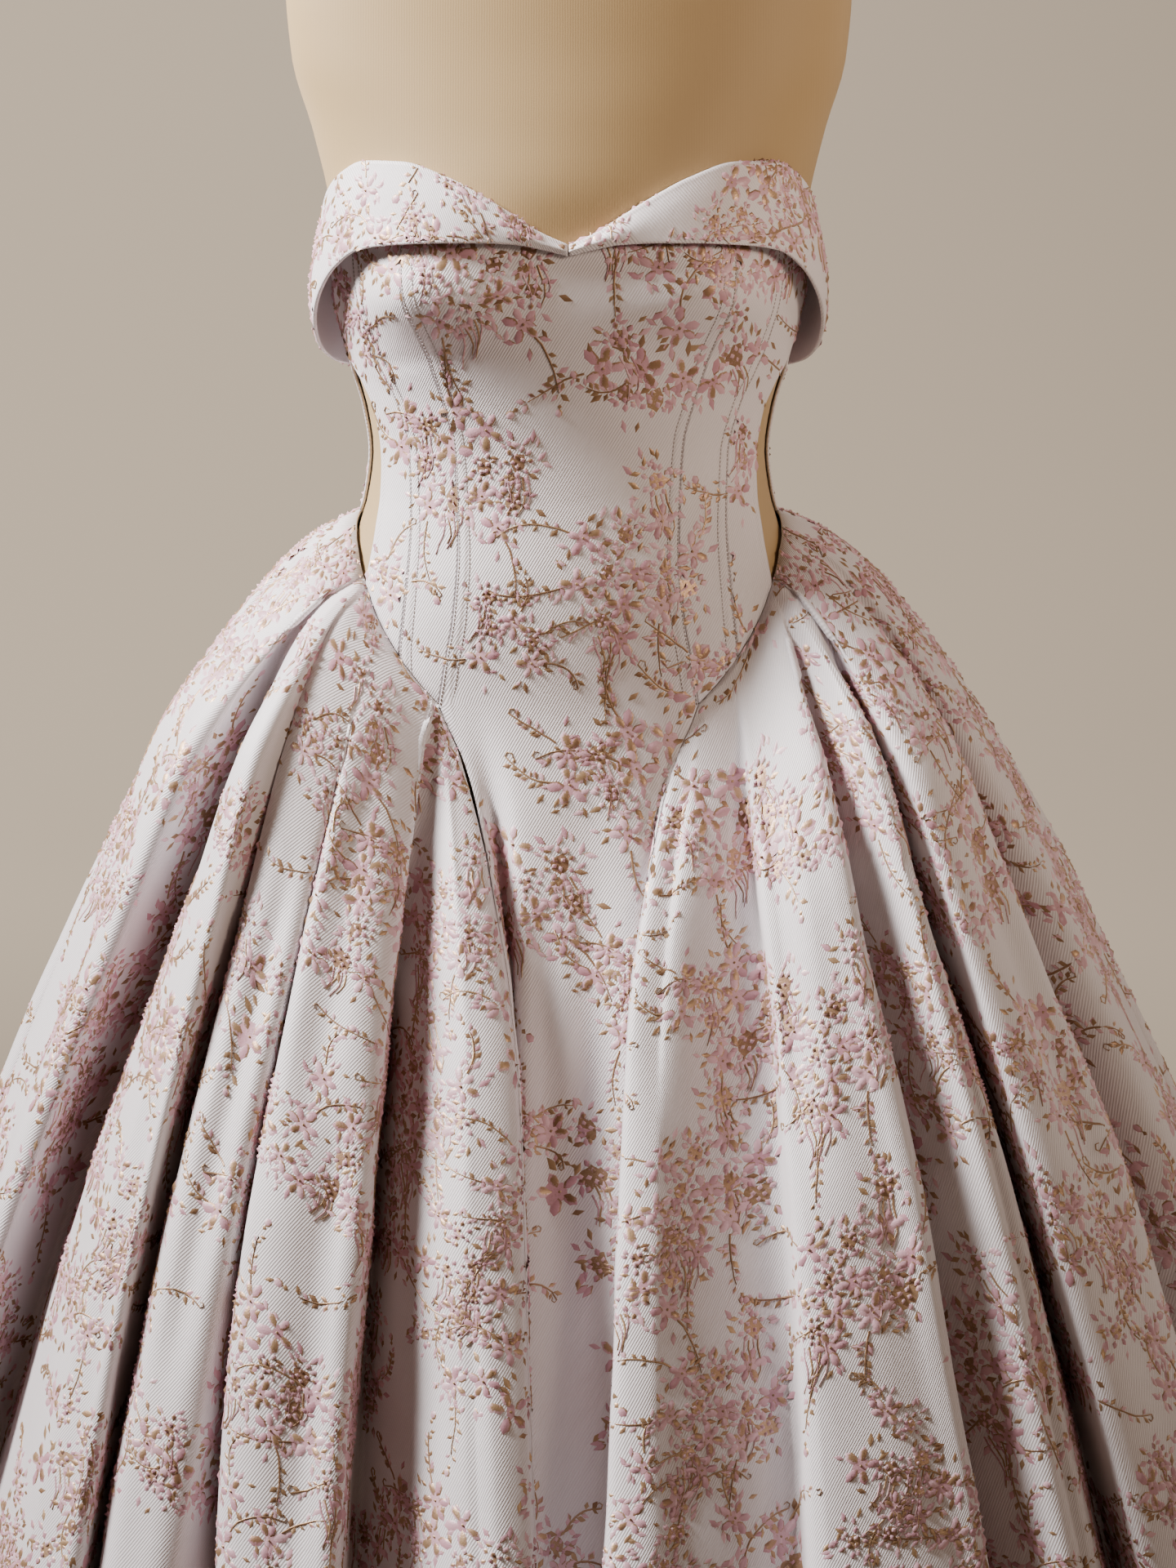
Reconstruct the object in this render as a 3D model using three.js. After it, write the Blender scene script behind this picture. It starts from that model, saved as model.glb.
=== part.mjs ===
// A strapless ball gown of floral brocade on a limbless dress form with a pole stand.
// Millimetres, +Z up, origin on the floor under the pole. The gown's front faces -Y.
import * as THREE from "three";

// Driving sizes.
const CLOTH = 1.8; // interlined brocade wall
const EASE = 1.2; // air between the form and the cloth that it carries
const SEAM = 0.5; // gap between two panels along a seam
const HEM_Z = 4; // hem above the floor
const VEE_DEG = 29; // where the front princess seams meet the skirt, round the form
const VEE_Z = 886;
const WAIST_GAP = 0.3; // the bodice ends this far above the skirt's seat line, and the skirt below it
const MEAN_RADIUS = 120; // of the bodice, for turning a seam's gap into an angle
// The hem's mean ring: half widths, and its set towards the wearer's left.
const HEM = { width: 578, front: 560, back: 610, shift: 22 };
const MID = 0.3; // share of a skirt line's fall at which its middle angle is stated

// The dress form's rings: half width, depth in front of the pole and depth behind it.
const FORM = [
  { z: 772, width: 150, front: 98, back: 112 },
  { z: 800, width: 158, front: 104, back: 119 },
  { z: 845, width: 164, front: 110, back: 124 },
  { z: 886, width: 163, front: 112, back: 120 },
  { z: 925, width: 154, front: 109, back: 112 },
  { z: 958, width: 144, front: 104, back: 104 },
  { z: 993, width: 132.5, front: 96, back: 94 },
  { z: 1014, width: 126.5, front: 92, back: 88 },
  { z: 1040, width: 123.5, front: 90, back: 85 },
  { z: 1066, width: 127, front: 92, back: 86 },
  { z: 1094, width: 135, front: 97, back: 90 },
  { z: 1140, width: 146, front: 104, back: 97 },
  { z: 1190, width: 150, front: 103, back: 103 },
  { z: 1240, width: 161, front: 93, back: 108 },
  { z: 1285, width: 174, front: 82, back: 107 },
  { z: 1335, width: 178, front: 72, back: 100 },
  { z: 1372, width: 171, front: 64, back: 88 },
  { z: 1398, width: 148, front: 57, back: 74 },
  { z: 1420, width: 100, front: 52, back: 62 },
  { z: 1440, width: 66, front: 50, back: 55 },
  { z: 1462, width: 57, front: 50, back: 52 },
  { z: 1498, width: 55, front: 51, back: 52 },
];
const BUST = { deg: 36, z: 1136, cloth: 19, form: 16, spread: 19, up: 40, down: 26 };

// The neckline round the body: height of the cuff's folded top, of its lower edge, and how
// far that lower edge stands off the bodice.
const NECKLINE = [
  { deg: 0, top: 1168, low: 1162, stand: 0.5 },
  { deg: 6, top: 1175, low: 1166, stand: 1.5 },
  { deg: 12, top: 1185, low: 1169, stand: 3 },
  { deg: 20, top: 1198, low: 1170, stand: 4 },
  { deg: 28, top: 1209, low: 1170, stand: 5 },
  { deg: 40, top: 1219, low: 1169, stand: 6 },
  { deg: 52, top: 1220, low: 1166, stand: 8 },
  { deg: 62, top: 1214, low: 1156, stand: 10 },
  { deg: 72, top: 1204, low: 1140, stand: 12 },
  { deg: 82, top: 1192, low: 1120, stand: 14 },
  { deg: 92, top: 1181, low: 1106, stand: 14 },
  { deg: 105, top: 1170, low: 1096, stand: 13 },
  { deg: 130, top: 1158, low: 1090, stand: 11 },
  { deg: 180, top: 1150, low: 1086, stand: 8 },
];
const CUFF = { thick: 2.6, lip: 2.6, tuck: 1.2, clear: 0.9, bulge: 2, round: 0.8 };

// Seams of the bodice as the distance x from the centre line at height z.
const PRINCESS_SEAM = [
  { z: VEE_Z, x: 79 },
  { z: 911, x: 75 },
  { z: 940, x: 70 },
  { z: 982, x: 67 },
  { z: 1021, x: 68 },
  { z: 1048, x: 70 },
  { z: 1067, x: 75 },
  { z: 1094, x: 83 },
  { z: 1122, x: 89 },
  { z: 1147, x: 93 },
  { z: 1175, x: 98 },
];
const SIDE_FRONT_SEAM = [
  { z: 920, x: 103 },
  { z: 947, x: 100 },
  { z: 1001, x: 96 },
  { z: 1040, x: 97 },
  { z: 1065, x: 103 },
  { z: 1103, x: 119 },
  { z: 1140, x: 127 },
  { z: 1200, x: 135 },
];
// The side cut-out: its front and back edges, as angles round the form.
const CUT_OUT = [
  { z: 958, front: 60, back: 92 },
  { z: 982, front: 62, back: 92 },
  { z: 1006, front: 65, back: 92 },
  { z: 1040, front: 69, back: 91 },
  { z: 1066, front: 70, back: 90 },
  { z: 1084, front: 75, back: 88 },
  { z: 1096, front: 82, back: 83.2 },
  { z: 1100, front: 82.6, back: 82.6 },
];
const CUT_MARGIN_DEG = 0.3; // the side panel keeps at least this width in front of the cut-out
// The line on which the skirt hangs: front vee, hip corner, side and back waist.
const SEAT = [
  { deg: 0, z: VEE_Z },
  { deg: VEE_DEG, z: VEE_Z },
  { deg: 60, z: 959 },
  { deg: 70, z: 978 },
  { deg: 80, z: 991 },
  { deg: 92, z: 1001 },
  { deg: 130, z: 1010 },
  { deg: 180, z: 1014 },
];
const ZIP_WIDTH = 5; // the closed placket at the centre back

// How far a skirt line has flared at each share of its fall, at the side and in front, and how
// far a drawn line has swung sideways.
const FLARE = [
  { fall: 0, side: 0, front: 0, drawn: 0 },
  { fall: 0.012, side: 0.062, front: 0.006, drawn: 0.06 },
  { fall: 0.035, side: 0.124, front: 0.022, drawn: 0.2 },
  { fall: 0.077, side: 0.198, front: 0.06, drawn: 0.37 },
  { fall: 0.122, side: 0.256, front: 0.11, drawn: 0.5 },
  { fall: 0.19, side: 0.326, front: 0.19, drawn: 0.65 },
  { fall: 0.27, side: 0.41, front: 0.28, drawn: 0.74 },
  { fall: 0.365, side: 0.505, front: 0.385, drawn: 0.79 },
  { fall: 0.5, side: 0.63, front: 0.52, drawn: 0.87 },
  { fall: 0.7, side: 0.8, front: 0.73, drawn: 0.95 },
  { fall: 1, side: 1, front: 1, drawn: 1 },
];
const SIDE_SHARE = [
  { deg: 0, share: 0 },
  { deg: 15, share: 0.12 },
  { deg: 30, share: 0.6 },
  { deg: 50, share: 0.95 },
  { deg: 90, share: 1 },
  { deg: 180, share: 0.9 },
];

// The skirt's folds in order round the body, from the centre back by the wearer's right
// side. Each has its left and right edge as angles on the seat line (seatL, seatR), at
// the middle of the fall and at the hem, how far its crest stands out there, the share of the
// fall by which it is full, the valley after it with its lean under a fold and its depth, and
// the share by which the fold is drawn sideways towards the centre front.
const FOLD_KEYS =
  "name seatL seatR midL midR hemL hemR outMid outHem full lean inMid inHem draw".split(" ");
const FOLDS = [
  ["back_1", -176, -163, -177, -165, -174, -158, 16, 26, 0.25, 2, 34, 52, 0],
  ["back_2", -156, -143, -159, -146, -152, -136, 18, 26, 0.2, -2, 38, 54, 0],
  ["back_3", -136, -123, -141, -127, -130, -114, 16, 28, 0.25, 2, 36, 54, 0],
  ["back_4", -116, -104, -122, -109, -108, -92, 18, 26, 0.2, -2, 38, 54, 0],
  ["side_right", -98, -86, -104, -89, -88, -72, 16, 26, 0.25, -3, 38, 54, 0],
  ["hip_right", -80, -62, -83, -62, -67, -49, 20, 26, 0.14, -15, 32, 60, 0],
  ["pleat_right", -60.6, -59.6, -49, -40.5, -44, -35.5, 18, 28, 0.12, -6, 36, 56, 0],
  ["front_right_a", -57, -47, -39.5, -32, -34, -29.5, 14, 26, 0.35, -1.5, 16, 54, 0],
  ["front_right_b", -44, -31, -31, -18.5, -19.5, -15, 20, 30, 0.3, -6, 58, 74, 0],
  ["vee_right", -29.6, -29, -9.2, -3.1, -7.2, -3, 24, 40, 0.15, -0.8, 18, 44, 1],
  ["centre", -12, 12, -4.6, 2.2, -4.2, 1.2, -26, -60, 0.3, 1.6, 20, 48, 1],
  ["vee_left", 29, 34, -0.8, 4, -1.2, 5.2, 22, 38, 0.16, 3.5, 14, 26, 1],
  ["front_left", 41, 57, 15, 28, 12.5, 29, 18, 30, 0.18, -2, 58, 70, 0],
  ["pleat_left", 59.4, 60.2, 35, 40, 30, 36, 18, 28, 0.12, 7, 34, 54, 0],
  ["hip_left", 61.6, 74, 42, 57, 40, 52, 20, 28, 0.14, 3, 42, 58, 0],
  ["side_left_a", 79, 91, 64, 81, 58, 72, 20, 28, 0.25, 3, 40, 56, 0],
  ["side_left_b", 98, 110, 89, 104, 78, 93, 16, 26, 0.25, 2, 36, 52, 0],
  ["back_5", 117, 129, 110, 124, 99, 113, 18, 26, 0.2, -2, 38, 54, 0],
  ["back_6", 136, 148, 130, 143, 119, 134, 16, 28, 0.25, 2, 36, 54, 0],
  ["back_7", 154, 165, 149, 161, 140, 154, 18, 26, 0.2, -2, 38, 52, 0],
  ["back_8", 170, 176, 167, 177, 160, 174, 14, 26, 0.25, 2, 30, 48, 0],
].map((row) => Object.fromEntries(row.map((value, i) => [FOLD_KEYS[i], value])));
const EDGE_SHARE = 0.55; // a fold's edges stand out this share of its crest
const TUCK = 6; // a lean of this many degrees tucks the valley under a sharp fold's edge
const FALLS = [0, 0.012, 0.032, 0.065, 0.105, 0.155, 0.215, 0.29, 0.39, 0.54, 0.76, 1];

// The stand, hidden by the skirt.
const STAND = { foot: 205, rim: 9, bevel: 6, plate: 14, hub: 34, hubLow: 18, hubTop: 46 };
const POLE = { radius: 16, gap: 0.3 };
const NECK_CAP = { radius: 50, height: 10, knob: 14, knobLow: 14, knobHigh: 20, knobTop: 34 };
const TAPER = 0.75; // the narrow end of the hub and of the knob
const FORM_COLUMNS = 36;

const DEG = Math.PI / 180;

// Straight lines between a table's rows.
function between(rows, key, x, by = "z") {
  const i = Math.max(1, rows.findIndex((row) => row[by] >= x));
  const end = x >= rows.at(-1)[by] ? rows.length - 1 : i;
  const [a, b] = [rows[end - 1], rows[end]];
  const t = THREE.MathUtils.clamp((x - a[by]) / (b[by] - a[by]), 0, 1);
  return a[key] + (b[key] - a[key]) * t;
}

// A smooth curve through a table's rows that never swings past them.
function smooth(rows, key, x, by = "z") {
  const last = rows.length - 1;
  if (x <= rows[0][by]) return rows[0][key];
  if (x >= rows[last][by]) return rows[last][key];
  const slope = (k) => (rows[k + 1][key] - rows[k][key]) / (rows[k + 1][by] - rows[k][by]);
  const tangent = (k) => {
    if (k === 0) return slope(0);
    if (k === last) return slope(last - 1);
    const [a, b] = [slope(k - 1), slope(k)];
    return a * b <= 0 ? 0 : (2 * a * b) / (a + b);
  };
  const i = rows.findIndex((row) => row[by] >= x) - 1;
  const h = rows[i + 1][by] - rows[i][by];
  const t = (x - rows[i][by]) / h;
  const [p, q] = [rows[i][key], rows[i + 1][key]];
  return (
    p * (1 + 2 * t) * (1 - t) ** 2 +
    q * t * t * (3 - 2 * t) +
    h * t * (1 - t) * (tangent(i) * (1 - t) - tangent(i + 1) * t)
  );
}

// A point of an oval ring at an angle round it, pushed out along the ring's normal.
function ringPoint(deg, z, width, front, back, out) {
  const [s, c] = [Math.sin(deg * DEG), Math.cos(deg * DEG)];
  const depth = c > 0 ? front : back;
  const [nx, ny] = [s / width, -c / depth];
  const push = out / Math.hypot(nx, ny);
  return new THREE.Vector3(width * s + nx * push, -depth * c + ny * push, z);
}

// The bust is two smooth mounds, and the boned cups stand a little off the form there.
function bust(deg, z, height) {
  const across = (Math.abs(deg) - BUST.deg) / BUST.spread;
  const along = (z - BUST.z) / (z > BUST.z ? BUST.up : BUST.down);
  return height * Math.exp(-across * across - along * along);
}

function formPoint(deg, z, out) {
  const [width, front, back] = ["width", "front", "back"].map((key) => smooth(FORM, key, z));
  return ringPoint(deg, z, width, front, back, out);
}

const bodyPoint = (deg, z, out) => formPoint(deg, z, out + bust(deg, z, BUST.cloth));

const seatHeight = (deg) => between(SEAT, "z", Math.abs(deg), "deg");
const neckline = (key, deg) => smooth(NECKLINE, key, Math.abs(deg), "deg");
const seamDeg = (seam, z) => Math.asin(smooth(seam, "x", z) / smooth(FORM, "width", z)) / DEG;

// A closed solid from its vertices and triangles, with its faces turned outwards.
function solid(points, triangles) {
  const volume = triangles.reduce((sum, [a, b, c]) => {
    return sum + points[a].dot(points[b].clone().cross(points[c]));
  }, 0);
  const faces = volume > 0 ? triangles : triangles.map(([a, b, c]) => [a, c, b]);
  const geometry = new THREE.BufferGeometry();
  geometry.setAttribute(
    "position",
    new THREE.Float32BufferAttribute(points.flatMap((p) => p.toArray()), 3),
  );
  geometry.setIndex(faces.flat());
  geometry.computeVertexNormals();
  return geometry;
}

// Two triangles for each cell of a grid of vertex numbers.
function cells(grid) {
  const faces = [];
  for (let j = 0; j + 1 < grid.length; j++) {
    for (let i = 0; i + 1 < grid[j].length; i++) {
      faces.push([grid[j][i], grid[j + 1][i], grid[j + 1][i + 1]]);
      faces.push([grid[j][i], grid[j + 1][i + 1], grid[j][i + 1]]);
    }
  }
  return faces;
}

// A cloth wall between an outer and an inner grid of points, closed along its four edges.
function wall(outer, inner) {
  const [rows, columns] = [outer.length, outer[0].length];
  const points = [...outer.flat(), ...inner.flat()];
  const number = (side, j, i) => side * rows * columns + j * columns + i;
  const grid = (side) => outer.map((row, j) => row.map((_, i) => number(side, j, i)));
  const [front, back] = [grid(0), grid(1)];
  const column = (side, i) => side.map((row) => row[i]);
  return solid(points, [
    ...cells(front),
    ...cells(back).map(([a, b, c]) => [a, c, b]),
    ...cells([back[0], front[0]]),
    ...cells([front[rows - 1], back[rows - 1]]),
    ...cells([column(front, 0), column(back, 0)]),
    ...cells([column(back, columns - 1), column(front, columns - 1)]),
  ]);
}

// The triangles that close an end loop, from its outline drawn flat. They turn with the loop
// or against it.
function endCap(outline, ring, along) {
  const { area, triangulateShape } = THREE.ShapeUtils;
  return triangulateShape(outline, []).map(([a, b, c]) => {
    const turnsAlong = area([outline[a], outline[b], outline[c]]) * area(outline) > 0;
    return (turnsAlong === along ? [a, b, c] : [a, c, b]).map((k) => ring[k]);
  });
}

// A solid from a row of closed loops.
function loft(loops, firstOutline, lastOutline) {
  const count = loops[0].length;
  const grid = loops.map((loop, j) => [...loop.keys(), 0].map((i) => j * count + i));
  return solid(loops.flat(), [
    ...cells(grid),
    ...endCap(firstOutline, grid[0], true),
    ...endCap(lastOutline, grid.at(-1), false),
  ]);
}

const part = new THREE.Group();
const finish = {
  brocade: new THREE.MeshStandardMaterial({ color: "#ddd2d3", roughness: 0.62 }),
  tape: new THREE.MeshStandardMaterial({ color: "#e2dcdc", roughness: 0.7 }),
  jersey: new THREE.MeshStandardMaterial({ color: "#c9ad87", roughness: 0.8 }),
  wood: new THREE.MeshStandardMaterial({ color: "#8a6140", roughness: 0.5 }),
  steel: new THREE.MeshStandardMaterial({ color: "#9a9a9c", roughness: 0.35, metalness: 1 }),
  iron: new THREE.MeshStandardMaterial({ color: "#2b2b2d", roughness: 0.55, metalness: 0.4 }),
};

function add(name, geometry, material) {
  const mesh = new THREE.Mesh(geometry, material);
  mesh.name = name;
  part.add(mesh);
}

// The shares from 0 to 1 at which rows lie that start closest together.
const FIRST_STEP = 0.6; // the first step against an even one
const closestFirst = (count) =>
  [...Array(count + 1).keys()]
    .map((i) => i / count)
    .map((t) => t * (FIRST_STEP + (1 - FIRST_STEP) * t));

// The bodice's top edge lies under the cuff's fold, and its bottom edge on the seat line.
const topEdge = (deg) => neckline("top", deg) - CUFF.lip - CUFF.tuck;
const bodiceBottom = (deg) => seatHeight(deg) + WAIST_GAP;
const MEETING_STEPS = 14; // enough for an edge and a slanting seam to settle on where they meet

// A strip of the body between two seams, from the cuff's fold down to its bottom line.
function bodiceGrid({ left, right, bottom, shares, rows, out }) {
  const half = SEAM / 2 / MEAN_RADIUS / DEG;
  const across = (z, share) => THREE.MathUtils.lerp(left(z) + half, right(z) - half, share);
  const meeting = (line, share) => {
    let z = VEE_Z;
    for (let step = 0; step < MEETING_STEPS; step++) z = line(across(z, share));
    return z;
  };
  const ends = shares.map((share) => [meeting(topEdge, share), meeting(bottom, share)]);
  return closestFirst(rows).map((fall) =>
    shares.map((share, i) => {
      const z = THREE.MathUtils.lerp(...ends[i], fall);
      return bodyPoint(across(z, share), z, out);
    }),
  );
}

const mirrored = (edge) => (z) => -edge(z);
const princess = (z) => seamDeg(PRINCESS_SEAM, z);
const cutFront = (z) => between(CUT_OUT, "front", z);
const cutBack = (z) => between(CUT_OUT, "back", z);
const sideFront = (z) =>
  Math.min(seamDeg(SIDE_FRONT_SEAM, z), cutFront(z) - CUT_MARGIN_DEG);
const placket = (z) => 180 - Math.asin(ZIP_WIDTH / 2 / smooth(FORM, "width", z)) / DEG;

function addBodicePanel(name, left, right, columns, rows) {
  const shares = [...Array(columns + 1).keys()].map((i) => i / columns);
  const panel = { left, right, bottom: bodiceBottom, shares, rows };
  const [outer, inner] = [EASE + CLOTH, EASE].map((out) => bodiceGrid({ ...panel, out }));
  add(name, wall(outer, inner), finish.brocade);
}

const BODICE_ROWS = 17;
const BODICE_PANELS = [
  { name: "side_front", near: princess, far: sideFront, columns: 5, rows: BODICE_ROWS },
  { name: "side", near: sideFront, far: cutFront, columns: 4, rows: BODICE_ROWS },
  { name: "bodice_back", near: cutBack, far: placket, columns: 13, rows: 10 },
];
for (const { name, near, far, columns, rows } of BODICE_PANELS) {
  addBodicePanel(`${name}_left`, near, far, columns, rows);
  addBodicePanel(`${name}_right`, mirrored(far), mirrored(near), columns, rows);
}

// The concealed zip fills the placket from the cuff's fold to the back waist.
const ZIP_ROWS = 6;
const zipGrid = (out) =>
  [...Array(ZIP_ROWS + 1).keys()].map((j) => {
    const z = THREE.MathUtils.lerp(topEdge(180), bodiceBottom(180), j / ZIP_ROWS);
    const reach = (1 - (2 * SEAM) / ZIP_WIDTH) * (180 - placket(z));
    return [-reach, 0, reach].map((deg) => bodyPoint(180 + deg, z, out));
  });
add("back_zip", wall(zipGrid(EASE + CLOTH), zipGrid(EASE)), finish.tape);

// The cuff is a doubled band folded down over the bodice's top edge, in two halves.
function cuffSection(deg) {
  const [top, low, stand] = ["top", "low", "stand"].map((key) => neckline(key, deg));
  const { thick, lip, clear, bulge, round } = CUFF;
  const inner = (s) => EASE + CLOTH + clear + stand * s + bulge * Math.sin(Math.PI * s);
  const height = (s) => THREE.MathUtils.lerp(top - lip, low, s);
  const face = (shares, extra) => shares.map((s) => [height(s), inner(s) + extra]);
  return [
    [top - lip, EASE],
    [top - round, EASE],
    [top, EASE + round],
    [top, inner(0) + thick - round],
    ...face([0, 0.33, 0.67, 1], thick),
    ...face([1, 0.67, 0.33, 0], 0),
  ];
}

const CUFF_STEPS = 34;
const CUFF_ENDS = { front: 0.15, back: 179.85 }; // each half stops just short of the other
const cuffOutline = (deg) => cuffSection(deg).map(([z, out]) => new THREE.Vector2(out, z));
for (const [name, side] of [["cuff_left", 1], ["cuff_right", -1]]) {
  const loops = closestFirst(CUFF_STEPS).map((share) => {
    const deg = THREE.MathUtils.lerp(CUFF_ENDS.front, CUFF_ENDS.back, share);
    return cuffSection(deg).map(([z, out]) => bodyPoint(side * deg, z, out));
  });
  const ends = [cuffOutline(CUFF_ENDS.front), cuffOutline(CUFF_ENDS.back)];
  add(name, loft(loops, ...ends), finish.brocade);
}

// Each fold gives four lines down the skirt: left edge, crest, right edge and valley.
const LINE_KEYS = ["seat", "mid", "hem", "outMid", "outHem", "full", "draw"];
function foldLines() {
  const mean = (a, b) => (a + b) / 2;
  const { seatL, midL, hemL, draw: firstDraw } = FOLDS[0];
  const wrap = { seatL: seatL + 360, midL: midL + 360, hemL: hemL + 360, draw: firstDraw };
  const edgeShare = (lean) =>
    EDGE_SHARE + (1 - EDGE_SHARE) * THREE.MathUtils.clamp(lean / TUCK, 0, 1);
  return FOLDS.flatMap((fold, k) => {
    const before = FOLDS.at(k - 1);
    const next = FOLDS[k + 1] ?? wrap;
    const { full, draw, lean } = fold;
    const line = (seat, mid, hem, share) => {
      const [outMid, outHem] = [fold.outMid * share, fold.outHem * share];
      return { seat, mid, hem, outMid, outHem, full, draw };
    };
    const crest = ["seat", "mid", "hem"].map((at) => mean(fold[`${at}L`], fold[`${at}R`]));
    const valley = ["seat", "mid", "hem"].map((at) => mean(fold[`${at}R`], next[`${at}L`]));
    return [
      line(fold.seatL, fold.midL, fold.hemL, edgeShare(before.lean)),
      line(...crest, 1),
      line(fold.seatR, fold.midR, fold.hemR, edgeShare(-lean)),
      {
        seat: valley[0],
        mid: valley[1] + lean,
        hem: valley[2] + lean,
        outMid: -fold.inMid,
        outHem: -fold.inHem,
        full,
        draw: mean(draw, next.draw),
      },
    ];
  });
}
const LINES = foldLines();

// A skirt column at a place counted in fold lines, smooth across them.
function columnAt(place) {
  const i = Math.floor(place);
  const t = place - i;
  const turn = (k) => {
    const rounds = Math.floor(k / LINES.length);
    const line = LINES[k - rounds * LINES.length];
    const [seat, mid, hem] = [line.seat, line.mid, line.hem].map((deg) => deg + 360 * rounds);
    return { ...line, seat, mid, hem };
  };
  const [a, b, c, d] = [i - 1, i, i + 1, i + 2].map(turn);
  const spline = (key) => {
    const [p, q, r, s] = [a[key], b[key], c[key], d[key]];
    return (
      q + 0.5 * t * (r - p + t * (2 * p - 5 * q + 4 * r - s + t * (3 * (q - r) + s - p)))
    );
  };
  const column = Object.fromEntries(LINE_KEYS.map((key) => [key, spline(key)]));
  column.seat = b.seat + (c.seat - b.seat) * t;
  return column;
}

const wrapped = (deg) => Math.abs(THREE.MathUtils.euclideanModulo(deg + 180, 360) - 180);

const hemPoint = (deg, out) => {
  const point = ringPoint(deg, HEM_Z, HEM.width, HEM.front, HEM.back, out);
  point.x += HEM.shift;
  return point;
};

// The point of a column at a share of its fall from the seat line to the hem.
function skirtPoint(column, fall) {
  const inVee = wrapped(column.seat) < VEE_DEG;
  const seatZ = seatHeight(wrapped(column.seat)) - (inVee ? 0 : WAIST_GAP);
  const seat = bodyPoint(column.seat, seatZ, EASE + CLOTH);
  const late = THREE.MathUtils.smoothstep(fall, MID, 1);
  const deg = column.mid + (column.hem - column.mid) * late;
  const share = smooth(SIDE_SHARE, "share", wrapped(deg), "deg");
  const [side, front, drawn] = ["side", "front", "drawn"].map((key) =>
    smooth(FLARE, key, fall, "fall"),
  );
  const flare = front + (side - front) * share;
  const sideways = flare + (drawn - flare) * column.draw;
  const out =
    fall < MID
      ? column.outMid * THREE.MathUtils.smoothstep(fall, 0, column.full)
      : column.outMid + (column.outHem - column.outMid) * ((fall - MID) / (1 - MID));
  const hem = hemPoint(deg, 0);
  const outward = hemPoint(deg, 1).sub(hem);
  return new THREE.Vector3(
    THREE.MathUtils.lerp(seat.x, hem.x, sideways),
    THREE.MathUtils.lerp(seat.y, hem.y, flare),
    THREE.MathUtils.lerp(seatZ, HEM_Z, fall),
  ).addScaledVector(outward, out);
}

const lineOf = (name, part) => 4 * FOLDS.findIndex((fold) => fold.name === name) + part;
const CENTRE_START = lineOf("vee_right", 2);
const CENTRE_END = lineOf("vee_left", 0);
const SKIRT_PANELS = [
  { name: "skirt_back_right", from: -1, to: lineOf("back_4", 3), samples: 2 },
  { name: "skirt_side_right", from: lineOf("back_4", 3), to: CENTRE_START, samples: 2 },
  { name: "centre_front", from: CENTRE_START, to: CENTRE_END, samples: 3 },
  { name: "skirt_side_left", from: CENTRE_END, to: lineOf("side_left_b", 3), samples: 2 },
  { name: "skirt_back_left", from: lineOf("side_left_b", 3), to: LINES.length - 1, samples: 2 },
];

// A column's outer and inner points. Its wall is square to the cloth on both sides of it, and
// pull moves it along the cloth, to leave a seam's gap.
const BESIDE = 0.3;
function columnWall(place, pull) {
  const line = (at) => FALLS.map((fall) => skirtPoint(columnAt(at), fall));
  const [before, here, after] = [place - BESIDE, place, place + BESIDE].map(line);
  const last = here.length - 1;
  const outer = [];
  const inner = [];
  here.forEach((p, j) => {
    const toLeft = before[j].clone().sub(p).normalize();
    const across = after[j].clone().sub(p).normalize().sub(toLeft).normalize();
    const down = here[Math.min(j + 1, last)].clone().sub(here[Math.max(j - 1, 0)]);
    const normal = down.cross(across).normalize();
    outer.push(p.clone().addScaledVector(across, pull));
    inner.push(outer[j].clone().addScaledVector(normal, -CLOTH));
  });
  inner[last].z = HEM_Z;
  return { outer, inner };
}

// The skirt's outer and inner points between two places.
function skirtGrids(from, to, samples) {
  const count = Math.round((to - from) * samples);
  const places = [...Array(count + 1).keys()].map((i) => from + i / samples);
  const walls = places.map((place, i) =>
    columnWall(place, i === 0 ? SEAM / 2 : i === count ? -SEAM / 2 : 0),
  );
  const rows = (side) => FALLS.map((_, j) => walls.map((column) => column[side][j]));
  return { outer: rows("outer"), inner: rows("inner"), columns: places.map(columnAt) };
}

// The centre front is one panel from neckline to hem, so its bodice strip tops the skirt's grid.
function centreStrip(columns, out) {
  const [first, last] = [columns[0].seat, columns.at(-1).seat];
  const shares = columns.map((column) => (column.seat - first) / (last - first));
  const strip = { left: mirrored(princess), right: princess, bottom: () => VEE_Z };
  return bodiceGrid({ ...strip, shares, rows: BODICE_ROWS, out }).slice(0, -1);
}

for (const { name, from, to, samples } of SKIRT_PANELS) {
  const { outer, inner, columns } = skirtGrids(from, to, samples);
  if (name === "centre_front") {
    outer.unshift(...centreStrip(columns, EASE + CLOTH));
    inner.unshift(...centreStrip(columns, EASE));
  }
  add(name, wall(outer, inner), finish.brocade);
}

// The form: one smooth torso, a turned neck cap, and the pole and foot that carry it.
const TORSO_RINGS = [
  { from: 772, to: 988, steps: 7 },
  { from: 988, to: 1196, steps: 15 },
  { from: 1196, to: 1380, steps: 5 },
  { from: 1380, to: 1498, steps: 6 },
];
const [formLow, formHigh] = [TORSO_RINGS[0].from, TORSO_RINGS.at(-1).to];
const heights = TORSO_RINGS.flatMap(({ from, to, steps }) =>
  [...Array(steps).keys()].map((i) => from + ((to - from) * i) / steps),
);
const torso = [...heights, formHigh].map((z) =>
  [...Array(FORM_COLUMNS).keys()].map((i) => {
    const deg = (360 * (i + 0.5)) / FORM_COLUMNS - 180;
    return formPoint(deg, z, bust(deg, z, BUST.form));
  }),
);
const plan = (loop) => loop.map((p) => new THREE.Vector2(p.x, p.y));
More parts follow.
